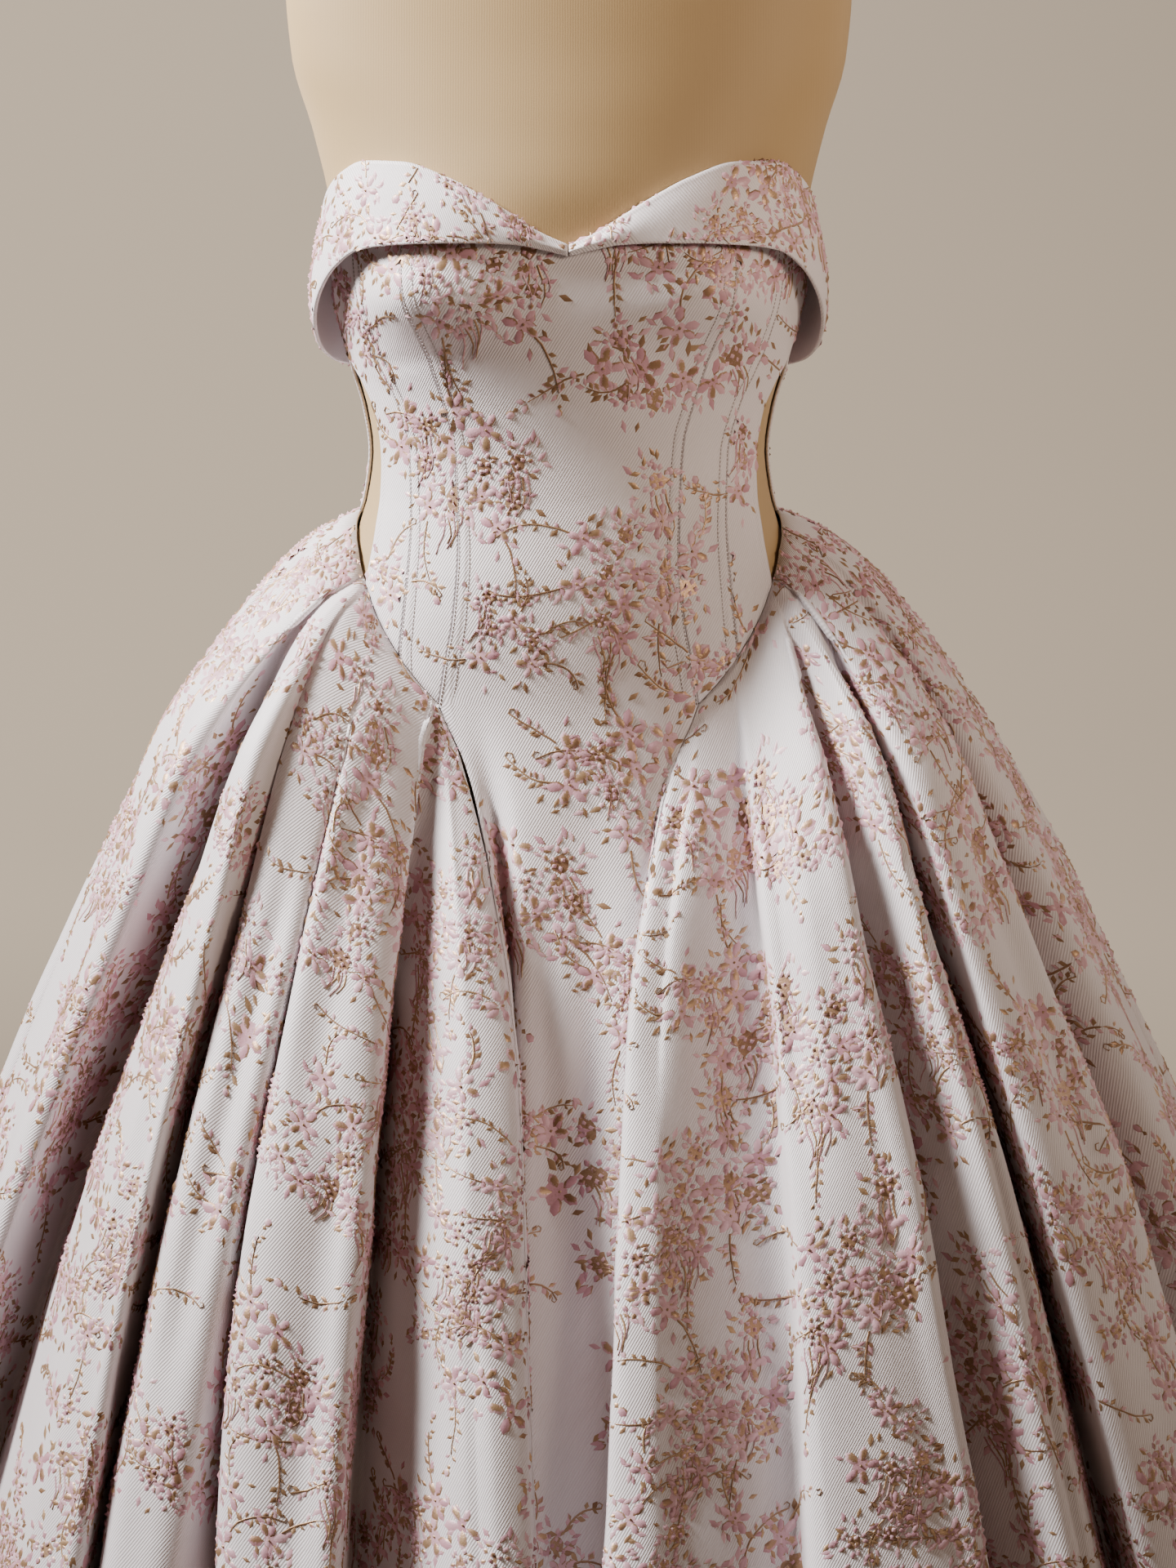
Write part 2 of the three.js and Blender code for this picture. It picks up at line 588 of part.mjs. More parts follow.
add("form_torso", loft(torso, plan(torso[0]), plan(torso.at(-1))), finish.jersey);

function turned(profile, z, segments) {
  const points = profile.map(([r, h]) => new THREE.Vector2(r, h));
  const geometry = new THREE.LatheGeometry(points, segments);
  geometry.rotateX(90 * DEG);
  geometry.translate(0, 0, z);
  return geometry;
}

const capProfile = [
  [0, 0],
  [NECK_CAP.radius, 0],
  [NECK_CAP.radius, NECK_CAP.height],
  [NECK_CAP.knob, NECK_CAP.knobLow],
  [NECK_CAP.knob, NECK_CAP.knobHigh],
  [NECK_CAP.knob * TAPER, NECK_CAP.knobTop],
  [0, NECK_CAP.knobTop],
];
add("neck_cap", turned(capProfile, formHigh + POLE.gap, 24), finish.wood);

const poleTop = formLow - POLE.gap;
const poleLow = STAND.hubTop + POLE.gap;
const poleProfile = [[0, poleLow], [POLE.radius, poleLow], [POLE.radius, poleTop], [0, poleTop]];
add("stand_pole", turned(poleProfile, 0, 20), finish.steel);

const footProfile = [
  [0, 0],
  [STAND.foot, 0],
  [STAND.foot, STAND.rim],
  [STAND.foot - STAND.bevel, STAND.plate],
  [STAND.hub, STAND.hubLow],
  [STAND.hub * TAPER, STAND.hubTop],
  [0, STAND.hubTop],
];
add("stand_foot", turned(footProfile, 0, 36), finish.iron);

export default part;
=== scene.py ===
# A strapless ball gown of floral brocade, worn on a limbless dress form with a pole stand.
# Metres, +Z up, the gown's front faces -Y. The shapes of form and cloth are worked out in
# millimetres, and stored in metres. Camera, lights, materials and node trees count in metres.
import math

import bmesh
import bpy
import numpy as np
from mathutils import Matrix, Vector, noise


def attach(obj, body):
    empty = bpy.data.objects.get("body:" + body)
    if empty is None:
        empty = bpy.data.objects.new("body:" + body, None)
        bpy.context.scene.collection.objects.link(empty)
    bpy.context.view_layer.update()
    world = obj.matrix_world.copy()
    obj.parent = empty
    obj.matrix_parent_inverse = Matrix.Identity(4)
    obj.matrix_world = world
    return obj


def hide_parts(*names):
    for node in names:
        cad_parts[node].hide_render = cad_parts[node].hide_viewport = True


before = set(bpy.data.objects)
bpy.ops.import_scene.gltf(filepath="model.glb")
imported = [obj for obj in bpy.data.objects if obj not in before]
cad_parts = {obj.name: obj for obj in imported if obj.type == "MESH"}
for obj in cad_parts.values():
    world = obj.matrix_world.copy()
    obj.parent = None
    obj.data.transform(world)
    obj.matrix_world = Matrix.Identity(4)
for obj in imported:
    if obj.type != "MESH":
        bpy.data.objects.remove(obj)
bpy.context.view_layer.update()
MM = 0.001


# The camera looks straight at the gown's front from 3.4 m, at bust height, through a lens that
# takes in the form's shoulders at the top and the skirt to below its knee line.
EYE = Vector((0.012, -3.4, 1.15))
AIM = Vector((0.012, 0.0, 0.827))
FRAME_HEIGHT = 0.998  # of what the photograph takes in, at the gown's axis
SENSOR = 0.036


def shown(name, data):
    """A new object of the scene that shows some data."""
    made = bpy.data.objects.new(name, data)
    bpy.context.scene.collection.objects.link(made)
    return made


camera = shown("camera", bpy.data.cameras.new("camera"))
camera.location = EYE
camera.rotation_mode = "QUATERNION"
camera.rotation_quaternion = (AIM - EYE).to_track_quat("-Z", "Y")
camera.data.sensor_width = SENSOR / MM
camera.data.lens = SENSOR / MM * (AIM - EYE).length / FRAME_HEIGHT
bpy.context.scene.camera = camera


# The dress form is a padded papier-mache torso, ending in a neck, under a stretched cover of
# smooth tan jersey. The cover is knitted so finely that only a soft bloom shows.
FORM_RINGS = [  # height, half width, depth in front of the pole, depth behind it
    (772, 150, 98, 112),
    (800, 158, 104, 119),
    (845, 164, 110, 124),
    (886, 163, 112, 120),
    (925, 154, 109, 112),
    (958, 144, 104, 104),
    (993, 132.5, 96, 94),
    (1014, 126.5, 92, 88),
    (1040, 123.5, 90, 85),
    (1066, 127, 92, 86),
    (1094, 135, 97, 90),
    (1140, 146, 104, 97),
    (1190, 150, 103, 103),
    (1240, 161, 93, 108),
    (1285, 174, 82, 107),
    (1335, 178, 72, 100),
    (1372, 171, 64, 88),
    (1398, 148, 57, 74),
    (1420, 100, 52, 62),
    (1440, 66, 50, 55),
    (1462, 57, 50, 52),
    (1498, 55, 51, 52),
]
BUST = {"deg": 36, "z": 1136, "cloth": 19, "form": 16, "spread": 19, "up": 40, "down": 26}
FORM_BOTTOM, FORM_TOP = FORM_RINGS[0][0], FORM_RINGS[-1][0]
JERSEY = "#B1966A"
JERSEY_SHADE = "#A5895D"
KNIT_PITCH = 0.0016  # real stitches are 0.8 mm apart, drawn twice as coarse so that they show
WAVE = math.tau / 20  # a wave texture of this scale repeats every metre


def column_of(rows, k):
    """The first and the k-th column of a table, as a curve's points."""
    return [(row[0], row[k]) for row in rows]


def curve(points, x):
    """A smooth curve through a table's points that never swings past them."""
    xs, ys = np.array(points, float).T
    slope = np.diff(ys) / np.diff(xs)
    product = slope[:-1] * slope[1:]
    total = np.where(slope[:-1] + slope[1:] == 0, 1, slope[:-1] + slope[1:])
    inner = np.where(product > 0, 2 * product / total, 0)
    tangent = np.concatenate([slope[:1], inner, slope[-1:]])
    x = np.clip(x, xs[0], xs[-1])
    i = np.clip(np.searchsorted(xs, x) - 1, 0, len(xs) - 2)
    h = xs[i + 1] - xs[i]
    t = (x - xs[i]) / h
    rise = ys[i] * (1 + 2 * t) * (1 - t) ** 2 + ys[i + 1] * t * t * (3 - 2 * t)
    return rise + h * t * (1 - t) * (tangent[i] * (1 - t) - tangent[i + 1] * t)


def ring_point(deg, z, width, front, back, out):
    """Points of an oval ring at angles round it from the front, pushed out along its normal."""
    s, c = np.sin(np.radians(deg)), np.cos(np.radians(deg))
    depth = np.where(c > 0, front, back)
    nx, ny = s / width, -c / depth
    push = out / np.hypot(nx, ny)
    parts = np.broadcast_arrays(width * s + nx * push, -depth * c + ny * push, z)
    return np.stack(parts, axis=-1)


def bust(deg, z, height):
    """How far the bust's two smooth mounds stand out."""
    across = (np.abs(deg) - BUST["deg"]) / BUST["spread"]
    along = (z - BUST["z"]) / np.where(z > BUST["z"], BUST["up"], BUST["down"])
    return height * np.exp(-across**2 - along**2)


def form_point(deg, z, out):
    width, front, back = (curve(column_of(FORM_RINGS, k), z) for k in (1, 2, 3))
    return ring_point(deg, z, width, front, back, out)


def corner_uv(uv):
    """The UV of each cell's four corners from the UV of a grid's points."""
    corners = [uv[:-1, :-1], uv[1:, :-1], uv[1:, 1:], uv[:-1, 1:]]
    return np.stack(corners, axis=-2)


def grid_mesh(name, points, uv=None, closed=False, caps=False):
    """A mesh of quads over rows and columns of points in millimetres, with its cloth UV map,
    also in millimetres, stored in metres. Closed joins the last column to the first, and caps
    close the first and the last row's loops."""
    rows, columns = points.shape[:2]
    number = np.arange(rows * columns).reshape(rows, columns)
    if closed:
        number = np.concatenate([number, number[:, :1]], axis=1)
    cells = corner_uv(number[..., None])[..., 0]
    faces = cells.reshape(-1, 4).tolist()
    ends = [number[0, :columns].tolist(), number[-1, :columns][::-1].tolist()] if caps else []
    mesh = bpy.data.meshes.new(name)
    mesh.from_pydata((points.reshape(-1, 3) * MM).tolist(), [], faces + ends)
    if uv is not None:
        flat = np.zeros((len(mesh.loops), 2), np.float32)
        flat[: 4 * len(faces)] = uv.reshape(-1, 2) * MM
        mesh.uv_layers.new(name="cloth").data.foreach_set("uv", flat.ravel())
    mesh.polygons.foreach_set("use_smooth", [True] * len(mesh.polygons))
    mesh.update()
    return shown(name, mesh)


def linear(code):
    """The linear colour of an sRGB hex value."""
    parts = [int(code[i : i + 2], 16) / 255 for i in (1, 3, 5)]
    return [c / 12.92 if c <= 0.04045 else ((c + 0.055) / 1.055) ** 2.4 for c in parts] + [1]


def add_node(tree, kind, inputs=None, **settings):
    """Adds a node with its settings. Each input is a value, or the output that feeds it."""
    node = tree.nodes.new(kind)
    for name, value in settings.items():
        setattr(node, name, value)
    for name, value in (inputs or {}).items():
        if isinstance(value, bpy.types.NodeSocket):
            tree.links.new(value, node.inputs[name])
        else:
            node.inputs[name].default_value = value
    return node


def output(tree, kind, inputs=None, **settings):
    """The first output of a node that it adds."""
    return add_node(tree, kind, inputs, **settings).outputs[0]


def maths(tree, operation, *values, kind="ShaderNodeMath"):
    """The output of a calculation with some values."""
    return output(tree, kind, dict(enumerate(values)), operation=operation)


def mixed(tree, share, first, second):
    """The output that mixes two colours, given as sRGB hex values or outputs, by a share."""
    first, second = (linear(c) if isinstance(c, str) else c for c in (first, second))
    inputs = {0: share, 6: first, 7: second}
    return add_node(tree, "ShaderNodeMix", inputs, data_type="RGBA").outputs[2]


def material_of(finish):
    """The material of a finish: a function that grows its shader's inputs in the tree, from the
    place on the piece, and whose name it takes."""
    material = bpy.data.materials.new(finish.__name__)
    material.use_nodes = True
    tree = material.node_tree
    tree.nodes.clear()
    place = add_node(tree, "ShaderNodeTexCoord").outputs["Object"]
    shader = output(tree, "ShaderNodeBsdfPrincipled", finish(tree, place))
    add_node(tree, "ShaderNodeOutputMaterial", {"Surface": shader})
    return material


def stretched_jersey(tree, place):
    """Stretched polyester jersey: a soft even bloom, faintly mottled where the pad is pressed."""
    mottle = output(tree, "ShaderNodeTexNoise", {"Vector": place, "Scale": 7, "Detail": 3})
    knit = {"Vector": place, "Scale": WAVE / KNIT_PITCH, "Distortion": 1.5}
    ribs = add_node(tree, "ShaderNodeTexWave", knit, bands_direction="X").outputs["Fac"]
    bump = {"Height": ribs, "Strength": 0.12, "Distance": 0.0002}
    return {
        "Base Color": mixed(tree, mottle, JERSEY, JERSEY_SHADE),
        "Normal": output(tree, "ShaderNodeBump", bump),
        "Roughness": 0.62,
        "Sheen Weight": 0.35,
        "Sheen Roughness": 0.5,
        "Sheen Tint": linear("#E8D6BE"),
    }


def dress(piece, material, slot, *nodes):
    """Gives a piece its material and its place with the one body, for its nodes of the frame."""
    piece.data.materials.clear()
    piece.data.materials.append(material)
    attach(piece, "root")
    if nodes:
        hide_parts(*nodes)


TORSO_COLUMNS, TORSO_ROWS = 96, 72
torso_deg = -180 + 360 * np.arange(TORSO_COLUMNS) / TORSO_COLUMNS
torso_z = np.linspace(FORM_TOP, FORM_BOTTOM, TORSO_ROWS)[:, None]
torso_points = form_point(torso_deg, torso_z, bust(torso_deg, torso_z, BUST["form"]))
torso = grid_mesh("dress_form", torso_points, closed=True, caps=True)
dress(torso, material_of(stretched_jersey), "jersey", "form_torso")


# The form's neck is closed by a turned beech cap with a knob. A brushed steel pole carries the
# torso, and stands in a cast iron foot under black enamel. All three keep the frame's shapes.
def varnished_beech(tree, place):
    """Beech, stained brown and varnished: fine grain along the turning, a soft gloss."""
    along = output(tree, "ShaderNodeMapping", {"Vector": place, "Scale": (18, 260, 260)})
    grain = output(tree, "ShaderNodeTexNoise", {"Vector": along, "Detail": 4})
    colour = mixed(tree, grain, "#6E4428", "#A3754A")
    return {"Base Color": colour, "Roughness": 0.34, "Coat Weight": 0.6, "Coat Roughness": 0.15}


def brushed_steel(tree, place):
    """Steel tube, brushed round: fine turned lines that spread the light."""
    along = output(tree, "ShaderNodeMapping", {"Vector": place, "Scale": (20, 20, 2500)})
    lines = output(tree, "ShaderNodeTexNoise", {"Vector": along, "Detail": 2})
    roughness = output(tree, "ShaderNodeMapRange", {"Value": lines, "To Min": 0.26, "To Max": 0.44})
    return {"Base Color": linear("#B7B5B2"), "Metallic": 1, "Roughness": roughness}


def black_enamel(tree, place):
    """Cast iron under black enamel: the casting's grain swells softly through the gloss."""
    grain = output(tree, "ShaderNodeTexNoise", {"Vector": place, "Scale": 420, "Detail": 2})
    normal = output(tree, "ShaderNodeBump", {"Height": grain, "Strength": 0.3, "Distance": 0.0004})
    colour = mixed(tree, grain, "#17171A", "#26262A")
    return {"Base Color": colour, "Roughness": 0.38, "Coat Weight": 0.5, "Normal": normal}


for name, finish in (
    ("neck_cap", varnished_beech),
    ("stand_pole", brushed_steel),
    ("stand_foot", black_enamel),
):
    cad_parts[name].data.materials.clear()
    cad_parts[name].data.materials.append(material_of(finish))


# The brocade is a heavy interlined jacquard. Its ground is a near-white satin twill, and its
# flowers float on top in lilac-pink satin thread with bronze lurex along their edges.
CLOTH = 1.8
TWILL_PITCH = 0.0016  # real ribs are 0.8 mm apart, drawn twice as coarse so that they show
TWILL_SLANT = math.radians(32)
EDGE_GRIT = 0.45  # how far the floats' grit breaks up their bronze edge
LUREX_METAL = 0.4  # lurex is a metal film under a clear coat, wound round a plain core
GROUND = "#E6E1E4"
# the ground's colour in the grooves between the twill's ribs: painted shade
GROUND_PAINTED_SHADE = "#D3CBD0"
PETAL_LIGHT = "#E0B9C3"
PETAL_DEEP = "#BD8B98"
BRONZE = "#AD8E6D"
BRONZE_DEEP = "#917055"


def satin_twill(tree, _):
    """Polyester satin twill: fine slanting ribs with painted shade in the grooves between them, a
    mild sheen and a faint unevenness, laid out on the piece's own UV."""
    place = output(tree, "ShaderNodeUVMap", uv_map="cloth")
    slant = output(tree, "ShaderNodeMapping", {"Vector": place, "Rotation": (0, 0, TWILL_SLANT)})
    twill = {"Vector": slant, "Scale": WAVE / TWILL_PITCH, "Distortion": 0.6, "Detail Scale": 2}
    ribs = add_node(tree, "ShaderNodeTexWave", twill).outputs["Fac"]
    slubs = output(tree, "ShaderNodeTexNoise", {"Vector": place, "Scale": 130, "Detail": 4})
    clouds = output(tree, "ShaderNodeTexNoise", {"Vector": place, "Scale": 14, "Detail": 3})
    height = maths(tree, "ADD", ribs, slubs)
    bump = {"Height": height, "Strength": 0.45, "Distance": 0.0004}
    # Painted shade: the twill's grooves, low in the bump, take the darker colour.
    thread = mixed(tree, ribs, GROUND_PAINTED_SHADE, GROUND)
    return {
        "Base Color": mixed(tree, clouds, thread, GROUND),
        "Normal": output(tree, "ShaderNodeBump", bump),
        "Roughness": 0.5,
        "Sheen Weight": 0.25,
        "Sheen Roughness": 0.35,
        "Sheen Tint": linear("#F4EEF2"),
    }


def satin_floats(tree, place):
    """Satin stitch: pink floats that catch the light in streaks, edged with bronze lurex
    that lies thicker on each petal's shaded side, as painted shade.
    """
    edge = add_node(tree, "ShaderNodeAttribute", attribute_name="edge").outputs["Fac"]
    tint = add_node(tree, "ShaderNodeAttribute", attribute_name="tint").outputs["Fac"]
    grit = output(tree, "ShaderNodeTexNoise", {"Vector": place, "Scale": 900, "Detail": 1})
    edge = maths(tree, "MULTIPLY_ADD", grit, EDGE_GRIT, edge)
    bronze = output(tree, "ShaderNodeMapRange", {"Value": edge, "From Min": 0.78, "From Max": 0.95})
    pink = mixed(tree, tint, PETAL_DEEP, PETAL_LIGHT)
    gold = mixed(tree, tint, BRONZE_DEEP, BRONZE)
    span = {"Value": grit, "To Min": 0.28, "To Max": 0.55}
    bump = {"Height": grit, "Strength": 0.35, "Distance": 0.0003}
    return {
        "Base Color": mixed(tree, bronze, pink, gold),
        "Metallic": maths(tree, "MULTIPLY", bronze, LUREX_METAL),
        "Roughness": output(tree, "ShaderNodeMapRange", span),
        "Normal": output(tree, "ShaderNodeBump", bump),
    }


GROUND_CLOTH = material_of(satin_twill)
FLOWER_THREAD = material_of(satin_floats)

# One woven petal, leaf and fleck: outline as shares of length and width, then the top, from
# which a triangle falls to each side. The outline sinks into the ground, and the top stands up.
PETAL = ([(0, 0), (0.3, 0.42), (0.72, 0.46), (1, 0), (0.72, -0.46), (0.3, -0.42)], (0.58, 0))
LEAF = ([(0, 0), (0.38, 0.5), (0.8, 0.3), (1, 0), (0.55, -0.46)], (0.48, 0))
FLECK = ([(0, 0), (0.42, 0.5), (1, 0), (0.5, -0.5)], (0.5, 0))
# The first share is for the outline on a petal's lit side, the second for its shaded side, where
# the extra bronze is painted shade over real bronze lurex.
WEAVES = {  # how much bronze thread lies on one side's outline, on the other's and on the top
    "pink": (0.3, 0.55, 0.0),
    "rimmed": (0.4, 1.0, 0.1),
    "veined": (0.35, 0.65, 0.9),
    "bronze": (0.85, 1.0, 0.85),
}
SINK = -0.25
MAT_POINTS = 7
# each petal's shaded side, whose outline gets extra bronze as painted shade, faces within a right
# angle of this heading in the flat cloth
SHADED_SIDE_HEADING = 0.6  # the heading from which a petal's sides change places
STRAND = {"width": 1.8, "apart": 3.0, "points": 5, "sway": 0.18}
rng = np.random.default_rng(58)


def one_of(**chances):
    """One of the named weaves, by its chance."""
    return rng.choice(list(chances), p=list(chances.values()))


def stepped(at, heading, reach):
    """The point at a reach from another in a heading."""
    return at[0] + reach * math.cos(heading), at[1] + reach * math.sin(heading)


class Spray:
    """One flower spray of the weave, drawn flat in millimetres, root at the middle."""

    def __init__(self):
        self.points, self.faces, self.edge, self.tint = [], [], [], []

    def add(self, points, faces, edge):
        start = len(self.points)
        self.points += points
        self.faces += [tuple(start + k for k in face) for face in faces]
        self.edge += edge
        self.tint += [rng.uniform(0, 1)] * len(points)

    def petal(self, at, heading, length, width, weave, shape=PETAL, height=1.3):
        """A puffed petal with its root at a point."""
        c, s = math.cos(heading), math.sin(heading)
        outline, top = shape
        points = []
        for (a, b), lift in [(share, SINK) for share in outline] + [(top, height)]:
            x, y = a * length, b * width
            points.append((at[0] + c * x - s * y, at[1] + s * x + c * y, lift))
        # The outline on the side that faces the shaded-side heading takes the larger share of
        # bronze: painted shade over the real bronze lurex edge.
        thin, full, on_top = WEAVES[weave]
        side = 1 if math.sin(heading - SHADED_SIDE_HEADING) > 0 else -1
        edge = [full if b * side < 0 or a == 0 else thin for a, b in outline]
        count = len(outline)
        faces = [(count, (k + 1) % count, k) for k in range(count)]
        self.add(points, faces, edge + [on_top])

    def mat(self, at, radius, bronze):
        """A low ragged patch of floats under a flower's petals."""
        points = []
        for k in range(MAT_POINTS):
            turn = math.tau * k / MAT_POINTS
            points.append((*stepped(at, turn, radius * rng.uniform(0.8, 1.15)), SINK))
        points.append((*at, 0.4))
        faces = [(MAT_POINTS, k, (k + 1) % MAT_POINTS) for k in range(MAT_POINTS)]
        self.add(points, faces, [bronze] * len(points))

    def thread(self, line, bronze, height=0.7):
        """A raised strand along a line of points, tapering to its end."""
        points, edge = [], []
        last = len(line) - 1
        for k, (x, y) in enumerate(line):
            ahead = np.subtract(line[min(k + 1, last)], line[max(k - 1, 0)])
            side = np.array([-ahead[1], ahead[0]]) / (np.hypot(*ahead) + 1e-9)
            half = STRAND["width"] / 2 * (1 - 0.6 * (k / last) ** 2)
            for share, lift in ((1, SINK), (0, height), (-1, SINK)):
                points.append((x + side[0] * half * share, y + side[1] * half * share, lift))
                edge.append(bronze + (0 if share == 0 else 0.3))
        starts = [3 * k + j for k in range(last) for j in (0, 1)]
        self.add(points, [(a, a + 1, a + 4, a + 3) for a in starts], edge)

    def ring(self, at, count, reach, size, broad, shape, height, **chances):
        """Petals round a point, rooted at a reach from it, each in one of some weaves."""
        turn = rng.uniform(0, math.tau)
        for k in range(count):
            away = turn + math.tau * k / count + rng.normal(0, 0.14)
            root = stepped(at, away, reach)
            length = size * rng.uniform(0.82, 1.12)
            self.petal(root, away, length, length * broad, one_of(**chances), shape, height)

    def star(self, at, radius):
        """Five or six broad petals on a patch of mixed floats, with a bronze heart."""
        self.mat(at, 0.72 * radius, 0.52)
        weaves = {"rimmed": 0.45, "veined": 0.4, "pink": 0.15}
        self.ring(at, int(rng.integers(5, 7)), 0.1 * radius, radius, 0.56, PETAL, 1.6, **weaves)
        self.petal((at[0] - 1.4, at[1]), 0, 3.0, 2.8, "bronze", FLECK, 1.9)

    def head(self, at, radius):
        """A full round flower of many small lobes, with bronze between them."""
        self.mat(at, 0.86 * radius, 0.75)
        weaves = {"rimmed": 0.5, "veined": 0.15, "pink": 0.35}
        self.ring(at, 8, 0.5 * radius, 0.56 * radius, 0.78, LEAF, 1.5, **weaves)
        self.ring(at, 4, 0.08 * radius, 0.46 * radius, 0.84, FLECK, 2.1, **weaves)

    def bud(self, at, heading, size):
        """A round pink bud in a bronze cup."""
        cup = stepped(at, heading, 0.3 * size)
        self.petal(cup, heading, 0.8 * size, 0.66 * size, "rimmed", PETAL, 1.7)
        self.petal(at, heading, 0.5 * size, 0.46 * size, "bronze", FLECK, 1.0)

    def twig(self, at, heading, length, bend):
        """A curved bronze stem with leaves on both sides, ending in a bud or a curl."""
        line, headings = [], []
        steps = 6
        for k in range(steps + 1):
            line.append(at)
            headings.append(heading)
            at = stepped(at, heading, length / steps)
            heading += bend / steps + rng.normal(0, 0.09)
        leaf_roots = list(zip(line, headings))[1:]
        if rng.random() < 0.5:
            self.bud(at, heading, rng.uniform(7.5, 10))
        else:
            curl = 1 if rng.random() < 0.5 else -1
            radius = rng.uniform(1.8, 2.6)
            for _ in range(4):
                at = stepped(at, heading, radius * 1.1)
                heading += curl * 1.25
                line.append(at)
        self.thread(line, 0.75)
        for root, stem in leaf_roots:
            for side in (-1, 1):
                if rng.random() < 0.78:
                    size = rng.uniform(5.2, 8.6)
                    away = stem + side * rng.uniform(0.5, 1.1)
                    weave = one_of(bronze=0.5, veined=0.2, rimmed=0.3)
                    broad = rng.uniform(0.46, 0.6)
                    self.petal(root, away, size, size * broad, weave, FLECK, 1.0)

    def strands(self, at, heading, length, count):
        """Long threads hanging side by side."""
        for k in range(count):
            top = at[0] + (k - (count - 1) / 2) * STRAND["apart"], at[1] + rng.uniform(-3, 3)
            reach = length * rng.uniform(0.7, 1.1)
            start = rng.uniform(-1.2, 1.2)
            line = []
            for step in range(STRAND["points"]):
                t = step / (STRAND["points"] - 1)
                along = heading + STRAND["sway"] * math.sin(4 * t + start)
                line.append(stepped(top, along, reach * t))
            self.thread(line, 0.8 if k % 2 else 0.45)

    def build(self, name):
        mesh = bpy.data.meshes.new(name)
        mesh.from_pydata((np.array(self.points) * MM).tolist(), [], self.faces)
        for key, values in (("edge", self.edge), ("tint", self.tint)):
            mesh.attributes.new(key, "FLOAT", "POINT").data.foreach_set("value", values)
        mesh.polygons.foreach_set("use_smooth", [True] * len(mesh.polygons))
        SPRAYS.objects.link(bpy.data.objects.new(name, mesh))


SPRAYS = bpy.data.collections.new("sprays")
SPRAY_KINDS = [  # half width, half height, slant, stars, heads, twigs, bundles of strands, fill
    (46, 62, 0.5, 8, 6, 6, 3, 150),
    (50, 56, -0.55, 8, 6, 6, 3, 150),
    (58, 46, 0.35, 8, 5, 6, 2, 140),
    (40, 64, -0.7, 7, 6, 5, 3, 135),
    (30, 38, 0.3, 3, 3, 4, 1, 60),
]
HEARTS = {"reach": 0.78, "across": 0.42, "near": 0.74}  # shares of the spray and of two radii
FILL_BROAD = 0.43
for number, (wide, high, slant, stars, heads, twigs, bundles, fill) in enumerate(SPRAY_KINDS):
    spray = Spray()
    hearts = []
    while len(hearts) < stars + heads:
        t = rng.uniform(-1, 1)
        across = rng.normal(0, HEARTS["across"])
        x = wide * HEARTS["reach"] * (t - 0.5 * across * slant)
        y = high * HEARTS["reach"] * (slant * t + across) + 4 * math.sin(5 * t)
        radius = rng.uniform(10.5, 13.5) if len(hearts) < stars else rng.uniform(9, 11.5)
        gaps = [math.hypot(x - a, y - b) - HEARTS["near"] * (radius + r) for (a, b), r in hearts]
        if abs(x) < wide and abs(y) < high and min(gaps, default=1) > 0:
            hearts.append(((x, y), radius))
        else:
            high += 0.05
    for _ in range(fill):
        heart, radius = hearts[rng.integers(len(hearts))]
        away = rng.uniform(0, math.tau)
        root = stepped(heart, away, radius * rng.uniform(0.65, 1.4))
        size = rng.uniform(7.5, 12)
        weave = one_of(bronze=0.34, rimmed=0.4, pink=0.26)
        heading = away + rng.normal(0, 0.8)
        spray.petal(root, heading, size, size * FILL_BROAD, weave, FLECK, 1.0)
    for k in range(twigs):
        (x, y), radius = hearts[k % len(hearts)]
        away = math.atan2(y, x) + rng.normal(0, 0.3)
        start = stepped((x, y), away, 0.8 * radius)
        spray.twig(start, away, rng.uniform(22, 40), rng.uniform(-1.3, 1.3))
    for k in range(bundles):
        (x, y), radius = hearts[-1 - k]
        strands = int(rng.integers(3, 6))
        spray.strands((x, y - 0.7 * radius), -math.pi / 2, rng.uniform(18, 30), strands)
    for k, heart in enumerate(hearts):
        (spray.star if k < stars else spray.head)(*heart)
    spray.build("spray_%d" % number)


def new_tree(name, result, **inputs):
    """A tree with its named inputs, given with their kinds, and the outputs that bring them."""
    tree = bpy.data.node_groups.new(name, "GeometryNodeTree")
    for key, kind in inputs.items():
        tree.interface.new_socket(key, in_out="INPUT", socket_type="NodeSocket" + kind)
    tree.interface.new_socket(result, in_out="OUTPUT", socket_type="NodeSocketGeometry")
    return tree, add_node(tree, "NodeGroupInput").outputs


